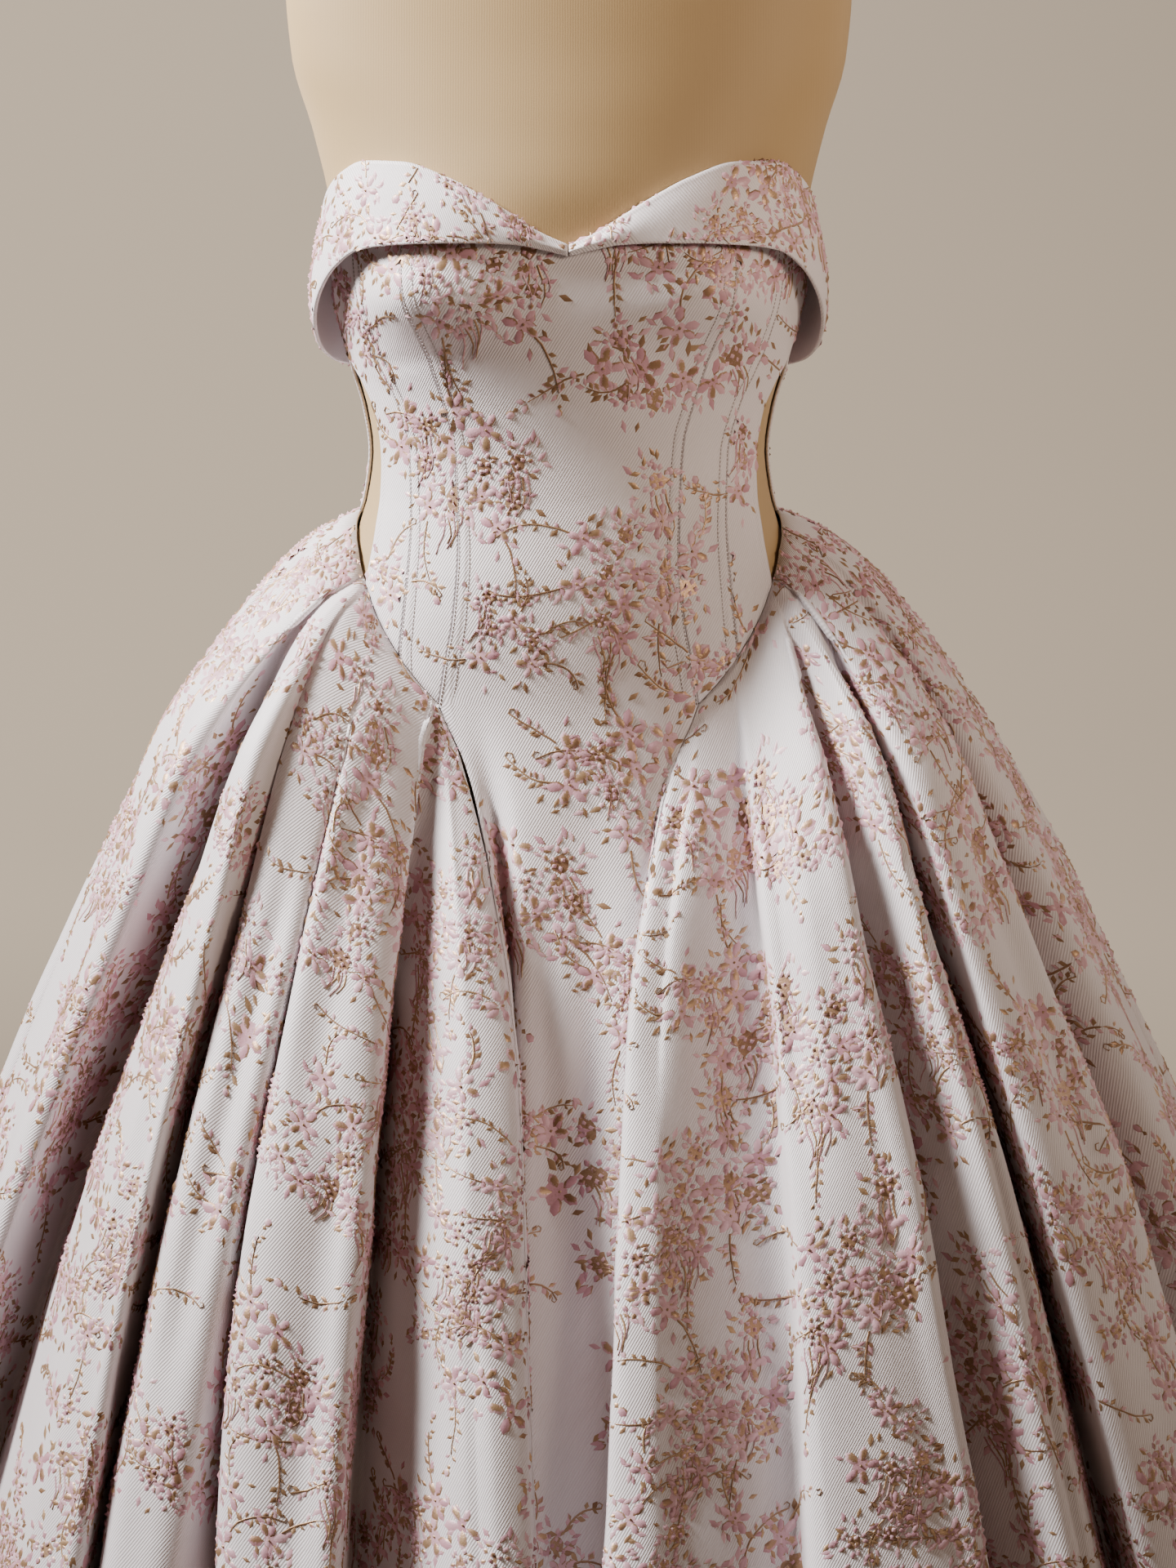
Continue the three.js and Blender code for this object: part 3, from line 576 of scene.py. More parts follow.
def flower_tree():
    """Sows sprays over the cloth's flat UV, and bends each of them onto the hanging cloth."""
    tree, given = new_tree(
        "woven_flowers", "Flowers", Cloth="Geometry", Sprays="Collection", Centre="Vector",
        Width="Float", Height="Float", Columns="Int", Rows="Int", Scatter="Float", Seed="Int",
        Thread="Material",
    )
    vectors = "ShaderNodeVectorMath"

    def drawn(kind, k, low, high):
        """A random value for each point, between two, of the node's k-th kind."""
        inputs = {2 * k: low, 2 * k + 1: high, "Seed": given["Seed"]}
        return add_node(tree, "FunctionNodeRandomValue", inputs, data_type=kind).outputs[k]

    sizes = {"Size X": given["Width"], "Size Y": given["Height"]}
    counts = {"Vertices X": given["Columns"], "Vertices Y": given["Rows"]}
    lattice = add_node(tree, "GeometryNodeMeshGrid", {**sizes, **counts}).outputs["Mesh"]
    points = output(tree, "GeometryNodeMeshToPoints", {"Mesh": lattice})
    index = output(tree, "GeometryNodeInputIndex")
    column = maths(tree, "FLOOR", maths(tree, "DIVIDE", index, given["Rows"]))
    odd = maths(tree, "MODULO", column, 2.0)
    pitch = maths(tree, "DIVIDE", given["Height"], given["Rows"])
    drop = maths(tree, "MULTIPLY", maths(tree, "MULTIPLY", odd, pitch), -0.5)
    drop = output(tree, "ShaderNodeCombineXYZ", {"Y": drop})
    most = given["Scatter"]
    least = maths(tree, "MULTIPLY", most, -1.0)
    low = output(tree, "ShaderNodeCombineXYZ", {"X": least, "Y": least})
    high = output(tree, "ShaderNodeCombineXYZ", {"X": most, "Y": most})
    shift = drawn("FLOAT_VECTOR", 0, low, high)
    moved = maths(tree, "ADD", shift, drop, kind=vectors)
    offset = maths(tree, "ADD", moved, given["Centre"], kind=vectors)
    sown = output(tree, "GeometryNodeSetPosition", {"Geometry": points, "Offset": offset})

    kinds = {"Collection": given["Sprays"], "Separate Children": True, "Reset Children": True}
    kinds = output(tree, "GeometryNodeCollectionInfo", kinds)
    pick = drawn("INT", 2, 0, len(SPRAY_KINDS) - 1)
    turn = drawn("FLOAT", 1, -SPRAY_TURN, SPRAY_TURN)
    turn = output(tree, "ShaderNodeCombineXYZ", {"Z": turn})
    size = drawn("FLOAT", 1, *SPRAY_SIZES)
    size = output(tree, "ShaderNodeCombineXYZ", {"X": size, "Y": size, "Z": 1.0})
    placed = {"Points": sown, "Instance": kinds, "Pick Instance": True, "Instance Index": pick}
    placed = {**placed, "Rotation": turn, "Scale": size}
    sprays = output(tree, "GeometryNodeInstanceOnPoints", placed)
    flat = output(tree, "GeometryNodeRealizeInstances", {"Geometry": sprays})

    place = output(tree, "GeometryNodeInputPosition")
    parts = add_node(tree, "ShaderNodeSeparateXYZ", {0: place}).outputs
    on_cloth = output(tree, "ShaderNodeCombineXYZ", {"X": parts["X"], "Y": parts["Y"]})
    uv = {"Name": "cloth"}
    uv = output(tree, "GeometryNodeInputNamedAttribute", uv, data_type="FLOAT_VECTOR")
    normal = output(tree, "GeometryNodeInputNormal")

    def sampled(value):
        inputs = {"Mesh": given["Cloth"], "Value": value, "UV Map": uv, "Sample UV": on_cloth}
        kind = "GeometryNodeSampleUVSurface"
        return add_node(tree, kind, inputs, data_type="FLOAT_VECTOR").outputs

    hung, out = sampled(place), sampled(normal)
    out = maths(tree, "NORMALIZE", out[0], kind=vectors)
    lift = output(tree, vectors, {0: out, "Scale": parts["Z"]}, operation="SCALE")
    target = maths(tree, "ADD", hung[0], lift, kind=vectors)
    off = maths(tree, "NOT", hung[1], kind="FunctionNodeBooleanMath")
    flat = {"Geometry": flat, "Name": "off", "Value": off}
    kind = "GeometryNodeStoreNamedAttribute"
    flat = output(tree, kind, flat, data_type="BOOLEAN", domain="POINT")
    bent = output(tree, "GeometryNodeSetPosition", {"Geometry": flat, "Position": target})
    gone = output(tree, "GeometryNodeInputNamedAttribute", {"Name": "off"}, data_type="BOOLEAN")
    kept = {"Geometry": bent, "Selection": gone}
    kept = output(tree, "GeometryNodeDeleteGeometry", kept, domain="POINT")
    real = output(tree, "GeometryNodeRealizeInstances", {"Geometry": kept})
    final = output(tree, "GeometryNodeSetMaterial", {"Geometry": real, "Material": given["Thread"]})
    add_node(tree, "NodeGroupOutput", {"Flowers": final})
    return tree


SPRAY_TURN, SPRAY_SIZES = 0.4, (0.9, 1.15)
FLOWER_TREE = flower_tree()
SCATTER = 0.024
BODICE_PITCH = (0.1, 0.13)  # metres between two sprays, across the cloth and down it
SKIRT_PITCH = (0.096, 0.125)
CUFF_PITCH = (0.085, 0.075)


def run_tree(host, tree, values):
    """The plain mesh that a tree makes on an object, which loses the modifier again."""
    modifier = host.modifiers.new(tree.name, "NODES")
    modifier.node_group = tree
    for item in tree.interface.items_tree:
        if item.in_out == "INPUT" and item.name in values:
            modifier[item.identifier] = values[item.name]
    host.update_tag()
    graph = bpy.context.evaluated_depsgraph_get()
    made = bpy.data.meshes.new_from_object(host.evaluated_get(graph))
    host.modifiers.remove(modifier)
    return made


def flowers_on(name, cloth, seed, pitch):
    """The woven flowers of one piece of cloth, as one mesh that lies on it."""
    mesh = cloth.data
    uv = np.zeros(len(mesh.loops) * 2, np.float32)
    mesh.uv_layers["cloth"].data.foreach_get("uv", uv)
    low, high = uv.reshape(-1, 2).min(0), uv.reshape(-1, 2).max(0)
    counts = [max(2, round((high[k] - low[k]) / pitch[k]) + 2) for k in (0, 1)]
    span = [pitch[k] * (counts[k] - 1) for k in (0, 1)]
    centre = [float(low[k] + high[k]) / 2 for k in (0, 1)] + [0.0]
    values = {"Sprays": SPRAYS, "Centre": centre, "Width": span[0], "Height": span[1]}
    values.update({"Columns": counts[0], "Rows": counts[1], "Scatter": SCATTER, "Seed": seed})
    values["Thread"] = FLOWER_THREAD
    made = shown(name, run_tree(cloth, FLOWER_TREE, values))
    dress(made, FLOWER_THREAD, "brocade")
    return made


# The bodice is cut in boned panels: side fronts, small sides in front of the cut-outs, and
# backs. They are seamed edge to edge, and a bone lies in a stitched channel beside each seam.
EASE = 1.2
SEAM = 0.5
WAIST_Z = 1040.0
VEE_DEG, VEE_Z = 29, 886
WAIST_GAP = 0.3
MEAN_RADIUS = 120  # of the bodice, for turning a gap into an angle
CUT_MARGIN_DEG = 0.3
NECKLINE = [  # angle, height of the cuff's folded top, of its lower edge, and that edge's stand
    (0, 1168, 1162, 0.5),
    (6, 1175, 1166, 1.5),
    (12, 1185, 1169, 3),
    (20, 1198, 1170, 4),
    (28, 1209, 1170, 5),
    (40, 1219, 1169, 6),
    (52, 1220, 1166, 8),
    (62, 1214, 1156, 10),
    (72, 1204, 1140, 12),
    (82, 1192, 1120, 14),
    (92, 1181, 1106, 14),
    (105, 1170, 1096, 13),
    (130, 1158, 1090, 11),
    (180, 1150, 1086, 8),
]
CUFF = {"thick": 2.6, "lip": 2.6, "tuck": 1.2, "clear": 0.9, "bulge": 2}
PRINCESS_SEAM = [  # height, distance from the centre line
    (886, 79), (911, 75), (940, 70), (982, 67), (1021, 68), (1048, 70), (1067, 75), (1094, 83),
    (1122, 89), (1147, 93), (1175, 98),
]
SIDE_FRONT_SEAM = [
    (920, 103), (947, 100), (1001, 96), (1040, 97), (1065, 103), (1103, 119), (1140, 127),
    (1200, 135),
]
CUT_OUT = [  # height, angle of its front edge and of its back edge
    (958, 60, 92), (982, 62, 92), (1006, 65, 92), (1040, 69, 91), (1066, 70, 90), (1084, 75, 88),
    (1096, 82, 83.2), (1100, 82.6, 82.6),
]
SEAT = [  # angle, height of the line on which the skirt hangs
    (0, VEE_Z), (VEE_DEG, VEE_Z), (60, 959), (70, 978), (80, 991), (92, 1001), (130, 1010),
    (180, 1014),
]
ZIP_WIDTH = 5
BONE = {"width": 6.5, "height": 0.5, "shoulder": 1.3}
HEM_TURN = {"width": 5, "height": 0.45, "shoulder": 0.8}
TROUGHS = [  # height, distance round, half height, half width, tilt and its start, depth
    (1097, 108, 3.4, 26, 0.1, 95, 1.4),
    (1076, 128, 5, 22, -0.35, 120, 0.7),
]
CUT_TOP, CUT_FADE = 1100, 6
SOLVE_STEPS = 14  # rounds in which a point slides along its seam to an edge
GIRTH_STEP = 6
GIRTH_LEVELS = np.arange(870, 1236, GIRTH_STEP)
GIRTH_DEGS = np.arange(0, 181, 1)


def line_between(rows, k, x):
    xs = [row[0] for row in rows]
    return np.interp(x, xs, [row[k] for row in rows])


def body_point(deg, z, out):
    return form_point(deg, z, out + bust(deg, z, BUST["cloth"]))


def run_along(points, axis):
    """How far each point of a grid or a line lies from the first, along its rows or columns."""
    steps = np.linalg.norm(np.diff(points, axis=axis), axis=-1)
    return np.pad(np.cumsum(steps, axis=axis), [(int(k == axis), 0) for k in range(steps.ndim)])


GIRTHS = run_along(body_point(GIRTH_DEGS, GIRTH_LEVELS[:, None], EASE + CLOTH), 1)


def girth(deg, z):
    """How far round the cloth, from the centre front, an angle lies at a height."""
    row = np.clip((z - GIRTH_LEVELS[0]) / GIRTH_STEP, 0, len(GIRTH_LEVELS) - 1.001)
    column = np.clip(np.abs(deg), 0, 179.999)
    row, column = np.broadcast_arrays(row, column)
    j, i = row.astype(int), column.astype(int)
    t, s = row - j, column - i
    low = GIRTHS[j, i] * (1 - s) + GIRTHS[j, i + 1] * s
    high = GIRTHS[j + 1, i] * (1 - s) + GIRTHS[j + 1, i + 1] * s
    return np.sign(deg) * (low * (1 - t) + high * t)


def smoothstep(t):
    t = np.clip(t, 0, 1)
    return t * t * (3 - 2 * t)


def seam_deg(seam, z):
    return np.degrees(np.arcsin(curve(seam, z) / curve(column_of(FORM_RINGS, 1), z)))


def princess(z):
    return seam_deg(PRINCESS_SEAM, z)


def cut_front(z):
    return line_between(CUT_OUT, 1, z)


def cut_back(z):
    return line_between(CUT_OUT, 2, z)


def side_front(z):
    return np.minimum(seam_deg(SIDE_FRONT_SEAM, z), cut_front(z) - CUT_MARGIN_DEG)


def placket(z):
    return 180 - np.degrees(np.arcsin(ZIP_WIDTH / 2 / curve(column_of(FORM_RINGS, 1), z)))


def mirrored(edge):
    return lambda z: -edge(z)


def top_edge(deg):
    return curve(column_of(NECKLINE, 1), np.abs(deg)) - CUFF["lip"] - CUFF["tuck"]


def bottom_edge(deg):
    return line_between(SEAT, 1, np.abs(deg)) + WAIST_GAP


def ridge(away, form):
    """The height of a stitched channel, from the distance to the seam that it lies beside."""
    rise = smoothstep(away / form["shoulder"])
    return form["height"] * rise * (1 - smoothstep((away - form["width"]) / form["shoulder"] + 1))


def relief(deg, z):
    """Bones beside the seams, turned edges, and the soft crease under the bust."""
    here = girth(np.abs(deg), z)
    out = sum(ridge(girth(seam(z), z) - here, BONE) for seam in (princess, side_front))
    beside = (girth(cut_front(z), z) - here, here - girth(cut_back(z), z))
    open_here = smoothstep((CUT_TOP - z) / CUT_FADE)
    out += open_here * sum(ridge(away, HEM_TURN) for away in beside)
    out += ridge(girth(placket(z), z) - here, BONE)
    for level, along, high, wide, tilt, start, depth in TROUGHS:
        up = (z - level + tilt * (here - start)) / high
        out = out - depth * np.exp(-(up**2) - ((here - along) / wide) ** 2)
    return out


def panel_places(left, right, bottom, shares, rows):
    """Angles and heights of the rows and columns of a bodice strip between two seams."""
    half = np.degrees(SEAM / 2 / MEAN_RADIUS)

    def across(z):
        return (left(z) + half) * (1 - shares) + (right(z) - half) * shares

    ends = []
    for edge in (top_edge, bottom):
        z = np.full(len(shares), float(VEE_Z))
        for _ in range(SOLVE_STEPS):
            z = edge(across(z))
        ends.append(z)
    falls = np.linspace(0, 1, rows + 1)[:, None]
    z = ends[0] + (ends[1] - ends[0]) * falls
    return across(z), z


def bodice_points(deg, z):
    return body_point(deg, z, EASE + CLOTH + relief(deg, z))


def bodice_uv(deg, z):
    return np.stack([girth(deg, z), z], axis=-1)


def even_shares(count, crowd=0.0):
    """Shares from 0 to 1, crowded towards both ends."""
    t = np.linspace(0, 1, count + 1)
    return t - crowd * np.sin(2 * math.pi * t) / (2 * math.pi)


def wall(piece, thickness=CLOTH):
    """Gives a sheet its cloth's thickness, inwards."""
    solidify = piece.modifiers.new("thickness", "SOLIDIFY")
    solidify.thickness = thickness * MM
    solidify.offset = -1
    return piece


BODICE_ROWS = 64
bodice = {}
for side, sign in (("left", 1), ("right", -1)):
    for name, near, far, columns in (
        ("side_front", princess, side_front, 30),
        ("side", side_front, cut_front, 24),
        ("bodice_back", cut_back, placket, 54),
    ):
        edges = (near, far) if sign > 0 else (mirrored(far), mirrored(near))
        shares = even_shares(columns, 0.6 if name == "bodice_back" else 0)
        deg, z = panel_places(*edges, bottom_edge, shares, BODICE_ROWS)
        uv = corner_uv(bodice_uv(deg, z))
        panel = grid_mesh("%s_%s_cloth" % (name, side), bodice_points(deg, z), uv)
        bodice[panel.name] = panel
        dress(panel, GROUND_CLOTH, "brocade", "%s_%s" % (name, side))


# The skirt hangs in deep unpressed folds from the vee, the hips and the back waist. It is cut
# in two side and two back gores, and the centre front runs on from the bodice as one panel.
HEM_Z = 4
HEM = {"width": 578, "front": 560, "back": 610, "shift": 22}
MID = 0.3
EDGE_SHARE = 0.55
TUCK = 6  # a lean of this many degrees tucks the valley under a sharp fold's edge
FLARE = [  # fall, flare at the side, flare in front, swing of a drawn line
    (0, 0, 0, 0), (0.012, 0.062, 0.006, 0.06), (0.035, 0.124, 0.022, 0.2),
    (0.077, 0.198, 0.06, 0.37), (0.122, 0.256, 0.11, 0.5), (0.19, 0.326, 0.19, 0.65),
    (0.27, 0.41, 0.28, 0.74), (0.365, 0.505, 0.385, 0.79), (0.5, 0.63, 0.52, 0.87),
    (0.7, 0.8, 0.73, 0.95), (1, 1, 1, 1),
]
SIDE_SHARE = [(0, 0), (15, 0.12), (30, 0.6), (50, 0.95), (90, 1), (180, 0.9)]
FOLD_KEYS = "seatL seatR midL midR hemL hemR outMid outHem full lean inMid inHem draw".split()
FOLDS = {  # the skirt's folds from the centre back, round by the wearer's right
    "back_1": (-176, -163, -177, -165, -174, -158, 16, 26, 0.25, 2, 34, 52, 0),
    "back_2": (-156, -143, -159, -146, -152, -136, 18, 26, 0.2, -2, 38, 54, 0),
    "back_3": (-136, -123, -141, -127, -130, -114, 16, 28, 0.25, 2, 36, 54, 0),
    "back_4": (-116, -104, -122, -109, -108, -92, 18, 26, 0.2, -2, 38, 54, 0),
    "side_right": (-98, -86, -104, -89, -88, -72, 16, 26, 0.25, -3, 38, 54, 0),
    "hip_right": (-80, -62, -83, -62, -67, -49, 20, 26, 0.14, -15, 32, 60, 0),
    "pleat_right": (-60.6, -59.6, -49, -40.5, -44, -35.5, 18, 28, 0.12, -6, 36, 56, 0),
    "front_right_a": (-57, -47, -39.5, -32, -34, -29.5, 14, 26, 0.35, -1.5, 16, 54, 0),
    "front_right_b": (-44, -31, -31, -18.5, -19.5, -15, 20, 30, 0.3, -6, 58, 74, 0),
    "vee_right": (-29.6, -29, -9.2, -3.1, -7.2, -3, 24, 40, 0.15, -0.8, 18, 44, 1),
    "centre": (-12, 12, -4.6, 2.2, -4.2, 1.2, -26, -60, 0.3, 1.6, 20, 48, 1),
    "vee_left": (29, 34, -0.8, 4, -1.2, 5.2, 22, 38, 0.16, 3.5, 14, 26, 1),
    "front_left": (41, 57, 15, 28, 12.5, 29, 18, 30, 0.18, -2, 58, 70, 0),
    "pleat_left": (59.4, 60.2, 35, 40, 30, 36, 18, 28, 0.12, 7, 34, 54, 0),
    "hip_left": (61.6, 74, 42, 57, 40, 52, 20, 28, 0.14, 3, 42, 58, 0),
    "side_left_a": (79, 91, 64, 81, 58, 72, 20, 28, 0.25, 3, 40, 56, 0),
    "side_left_b": (98, 110, 89, 104, 78, 93, 16, 26, 0.25, 2, 36, 52, 0),
    "back_5": (117, 129, 110, 124, 99, 113, 18, 26, 0.2, -2, 38, 54, 0),
    "back_6": (136, 148, 130, 143, 119, 134, 16, 28, 0.25, 2, 36, 54, 0),
    "back_7": (154, 165, 149, 161, 140, 154, 18, 26, 0.2, -2, 38, 52, 0),
    "back_8": (170, 176, 167, 177, 160, 174, 14, 26, 0.25, 2, 30, 48, 0),
}
LINE_KEYS = ("seat", "mid", "hem", "outMid", "outHem", "full", "draw")


def fold_lines():
    """Four lines for each fold, left edge, crest, right edge and valley, as rows of numbers."""
    folds = [dict(zip(FOLD_KEYS, row)) for row in FOLDS.values()]
    first = folds[0]
    wrap = {**first, **{k: first[k] + 360 for k in ("seatL", "midL", "hemL")}}
    lines = []
    for before, fold, after in zip(folds[-1:] + folds, folds, folds[1:] + [wrap]):
        left, right, nearest = (
            [row[level + side] for level in ("seat", "mid", "hem")]
            for row, side in ((fold, "L"), (fold, "R"), (after, "L"))
        )
        crest = [(a + b) / 2 for a, b in zip(left, right)]
        sharp = [min(1, max(0, lean / TUCK)) for lean in (before["lean"], -fold["lean"])]
        valley = [(a + b) / 2 + lean for a, b, lean in
                  zip(right, nearest, (0, fold["lean"], fold["lean"]))]
        shares = [EDGE_SHARE + (1 - EDGE_SHARE) * share for share in sharp]
        for angles, share in ((left, shares[0]), (crest, 1), (right, shares[1])):
            outs = [fold["outMid"] * share, fold["outHem"] * share]
            lines.append([*angles, *outs, fold["full"], fold["draw"]])
        draw = (fold["draw"] + after["draw"]) / 2
        lines.append([*valley, -fold["inMid"], -fold["inHem"], fold["full"], draw])
    return np.array(lines, float)


LINES = fold_lines()


def columns_at(places):
    """The skirt's columns at places counted in fold lines, smooth across them."""
    i = np.floor(places).astype(int)
    t = (places - i)[:, None]
    once_round = np.array([360, 360, 360, 0, 0, 0, 0])
    near = [LINES[k % len(LINES)] + once_round * (k // len(LINES))[:, None]
            for k in (i - 1, i, i + 1, i + 2)]
    p, q, r, s = near
    rise = t * (2 * p - 5 * q + 4 * r - s + t * (3 * (q - r) + s - p))
    column = q + 0.5 * t * (r - p + rise)
    column[:, 0] = (q + (r - q) * t)[:, 0]
    return {key: column[:, k] for k, key in enumerate(LINE_KEYS)}


def wrapped(deg):
    return np.abs((deg + 180) % 360 - 180)


def hem_point(deg, out):
    point = ring_point(deg, HEM_Z, HEM["width"], HEM["front"], HEM["back"], out)
    point[..., 0] += HEM["shift"]
    return point


def skirt_surface(places, falls):
    """Points of the skirt's outside at places round it and shares of its fall."""
    column = columns_at(places)
    fall = falls[:, None]
    round_seat = wrapped(column["seat"])
    seat_z = line_between(SEAT, 1, round_seat) - np.where(round_seat < VEE_DEG, 0, WAIST_GAP)
    seat = body_point(column["seat"], seat_z, EASE + CLOTH)
    deg = column["mid"] + (column["hem"] - column["mid"]) * smoothstep((fall - MID) / (1 - MID))
    side, front, drawn = (curve(column_of(FLARE, k), fall) for k in (1, 2, 3))
    flare = front + (side - front) * curve(SIDE_SHARE, wrapped(deg))
    sideways = flare + (drawn - flare) * column["draw"]
    early = column["outMid"] * smoothstep(fall / column["full"])
    late = column["outMid"] + (column["outHem"] - column["outMid"]) * (fall - MID) / (1 - MID)
    out = np.where(fall < MID, early, late)[..., None]
    hem = hem_point(deg, 0)
    outward = hem_point(deg, 1) - hem
    parts = np.broadcast_arrays(
        seat[..., 0] + (hem[..., 0] - seat[..., 0]) * sideways,
        seat[..., 1] + (hem[..., 1] - seat[..., 1]) * flare,
        seat_z + (HEM_Z - seat_z) * fall,
    )
    return np.stack(parts, axis=-1) + outward * out


CREASES = [  # place, where it starts and ends down the fall, width in places, depth, drift
    (19.6, 0.02, 0.3, 0.5, 3.0, 0.5), (21.2, 0.1, 0.62, 0.34, 3.5, -0.5),
    (22.1, 0.3, 0.9, 0.3, 3.0, 0.3), (25.4, 0.25, 0.7, 0.3, 2.6, 0.4),
    (29.3, 0.12, 0.5, 0.34, 3.0, -0.3), (30.1, 0.5, 1.1, 0.3, 3.4, 0.3),
    (32.6, 0.02, 0.34, 0.4, 3.0, 0.8), (33.5, 0.2, 0.62, 0.3, 4.0, -0.5),
    (34.2, 0.55, 1.1, 0.28, 3.4, 0.2), (36.6, 0.3, 0.8, 0.3, 2.4, 0.4),
    (40.4, 0.1, 0.4, 0.24, 2.6, 0.4), (41.3, 0.3, 0.9, 0.22, 3.0, -0.3),
    (45.0, 0.03, 0.3, 0.5, 3.0, 0.6), (46.3, 0.1, 0.5, 0.34, 3.6, 0.6),
    (48.4, 0.05, 0.36, 0.34, 3.6, -0.7), (49.4, 0.2, 0.75, 0.3, 4.4, 0.5),
    (50.3, 0.5, 1.1, 0.26, 3.4, -0.3), (53.2, 0.2, 0.7, 0.3, 3.0, 0.4),
    (57.3, 0.1, 0.45, 0.34, 3.2, -0.4), (58.0, 0.4, 1.0, 0.3, 3.4, 0.4),
    (61.2, 0.05, 0.5, 0.36, 3.0, 0.5), (62.0, 0.4, 1.0, 0.3, 3.2, -0.4),
    (65.4, 0.1, 0.6, 0.34, 3.0, 0.4), (69.2, 0.2, 0.8, 0.34, 3.4, -0.4),
    (73.4, 0.08, 0.5, 0.34, 3.0, 0.4), (77.3, 0.3, 0.95, 0.34, 3.2, 0.3),
    (81.1, 0.1, 0.6, 0.34, 3.0, -0.4), (1.3, 0.1, 0.7, 0.34, 3.0, 0.4),
    (5.2, 0.2, 0.8, 0.34, 3.2, -0.4), (9.4, 0.05, 0.5, 0.34, 3.0, 0.4),
    (13.1, 0.3, 1.0, 0.34, 3.4, -0.3), (16.8, 0.1, 0.6, 0.34, 3.0, 0.5),
]
CREASE_DEPTH = 1.5
SEAT_FADE = 0.05  # the share of the fall over which creases grow below the seat
CREASE_SHAPE = 0.45  # the ridge beside a crease stands up this share of its depth
WRINKLE_SIZES = ((95, 2.8), (40, 1.1), (17, 0.3))  # wavelength and height


def grid_normals(points):
    down = np.gradient(points, axis=0)
    across = np.gradient(points, axis=1)
    normal = np.cross(down, across)
    return normal / np.linalg.norm(normal, axis=-1, keepdims=True)


def wrinkles(points):
    """A fine unevenness that depends only on the place, so that it meets across seams."""
    out = np.zeros(points.shape[:2])
    for size, height in WRINKLE_SIZES:
        flat = (points / size).reshape(-1, 3)
        flat[:, 2] *= 0.55
        out += height * np.array([noise.noise(p) for p in flat]).reshape(out.shape)
    return out


def creases(places, falls):
    """Soft troughs, each with a ridge on one side."""
    out = np.zeros((len(falls), len(places)))
    for place, start, end, width, depth, drift in CREASES:
        along = (falls - start) / (end - start)
        window = (smoothstep(along * 3) * smoothstep((1 - along) * 3))[:, None]
        centre = place + drift * (falls[:, None] - start)
        away = (places - centre + len(LINES) / 2) % len(LINES) - len(LINES) / 2
        trough = np.exp(-((away / width) ** 2))
        beside = np.exp(-(((away - 1.6 * width) / width) ** 2))
        out += window * CREASE_DEPTH * depth * (CREASE_SHAPE * beside - trough)
    return out


def skirt_points(places, falls):
    points = skirt_surface(places, falls)
    fade = smoothstep(falls / SEAT_FADE)[:, None]
    out = fade * (creases(places, falls) + wrinkles(points))
    moved = points + grid_normals(points) * out[..., None]
    moved[-1, :, 2] = HEM_Z
    return moved


def seam_gap(points):
    """Draws a panel's two side edges in, to leave a seam's gap."""
    for edge, beside in ((0, 1), (-1, -2)):
        inward = points[:, beside] - points[:, edge]
        inward /= np.linalg.norm(inward, axis=-1, keepdims=True)
        points[:, edge] += inward * SEAM / 2
    return points


def island_uv(points, first, last, middle, left_at, top_at):
    """Flat UV of part of a grid: across from its middle column, and down along that column."""
    across = run_along(points[:, first : last + 1], 1)
    across -= across[:, middle - first][:, None]
    down = run_along(points[:, middle], 0)[:, None]
    return np.stack(np.broadcast_arrays(left_at + across, top_at - down), axis=-1)


def line_of(fold, part):
    return 4 * list(FOLDS).index(fold) + part


SKIRT_ROWS = 76
FALLS = even_shares(SKIRT_ROWS) * (0.4 + 0.6 * even_shares(SKIRT_ROWS))  # crowded at the seat
COLUMNS_A_LINE = 5
ISLAND_PITCH, ISLAND_DROP = 560, 37  # how far apart the flat UV's strips lie, and how far down
CENTRE_START, CENTRE_END = line_of("vee_right", 2), line_of("vee_left", 0)
BEND = {"rows": 10, "passes": 16, "edge": 1 / 8}


# The centre front: the bodice's middle strip from the cuff down, then the skirt's middle gore.
# It has no waist seam, so the cloth bends softly there.
def eased_bend(points, row):
    """Softens the bend at one row of a panel, but not at the panel's side edges."""
    near = np.clip(1 - np.abs(np.arange(len(points)) - row) / BEND["rows"], 0, 1)[1:-1, None]
    shares = even_shares(points.shape[1] - 1)
    weight = near * smoothstep(np.minimum(shares, 1 - shares) / BEND["edge"])
    for _ in range(BEND["passes"]):
        level = (points[:-2] + points[2:]) / 2
        points[1:-1] += 0.5 * weight[..., None] * (level - points[1:-1])
    return points


places = CENTRE_START + (CENTRE_END - CENTRE_START) * even_shares(64, 0.72)
seats = columns_at(places)["seat"]
shares = (seats - seats[0]) / (seats[-1] - seats[0])
deg, z = panel_places(
    mirrored(princess), princess, lambda deg: np.full_like(deg, VEE_Z), shares, BODICE_ROWS
)
gore = seam_gap(skirt_points(places, FALLS))
middle = int(np.argmin(np.abs(seats)))
gore_uv = island_uv(gore, 0, len(places) - 1, middle, 0, VEE_Z)
strip, strip_uv = bodice_points(deg, z), bodice_uv(deg, z)
points = eased_bend(np.concatenate([strip[:-1], gore]), len(strip) - 1)
uv = corner_uv(np.concatenate([strip_uv[:-1], gore_uv]))
centre_front = grid_mesh("centre_front_cloth", points, uv)
dress(centre_front, GROUND_CLOTH, "brocade", "centre_front")
bodice[centre_front.name] = centre_front

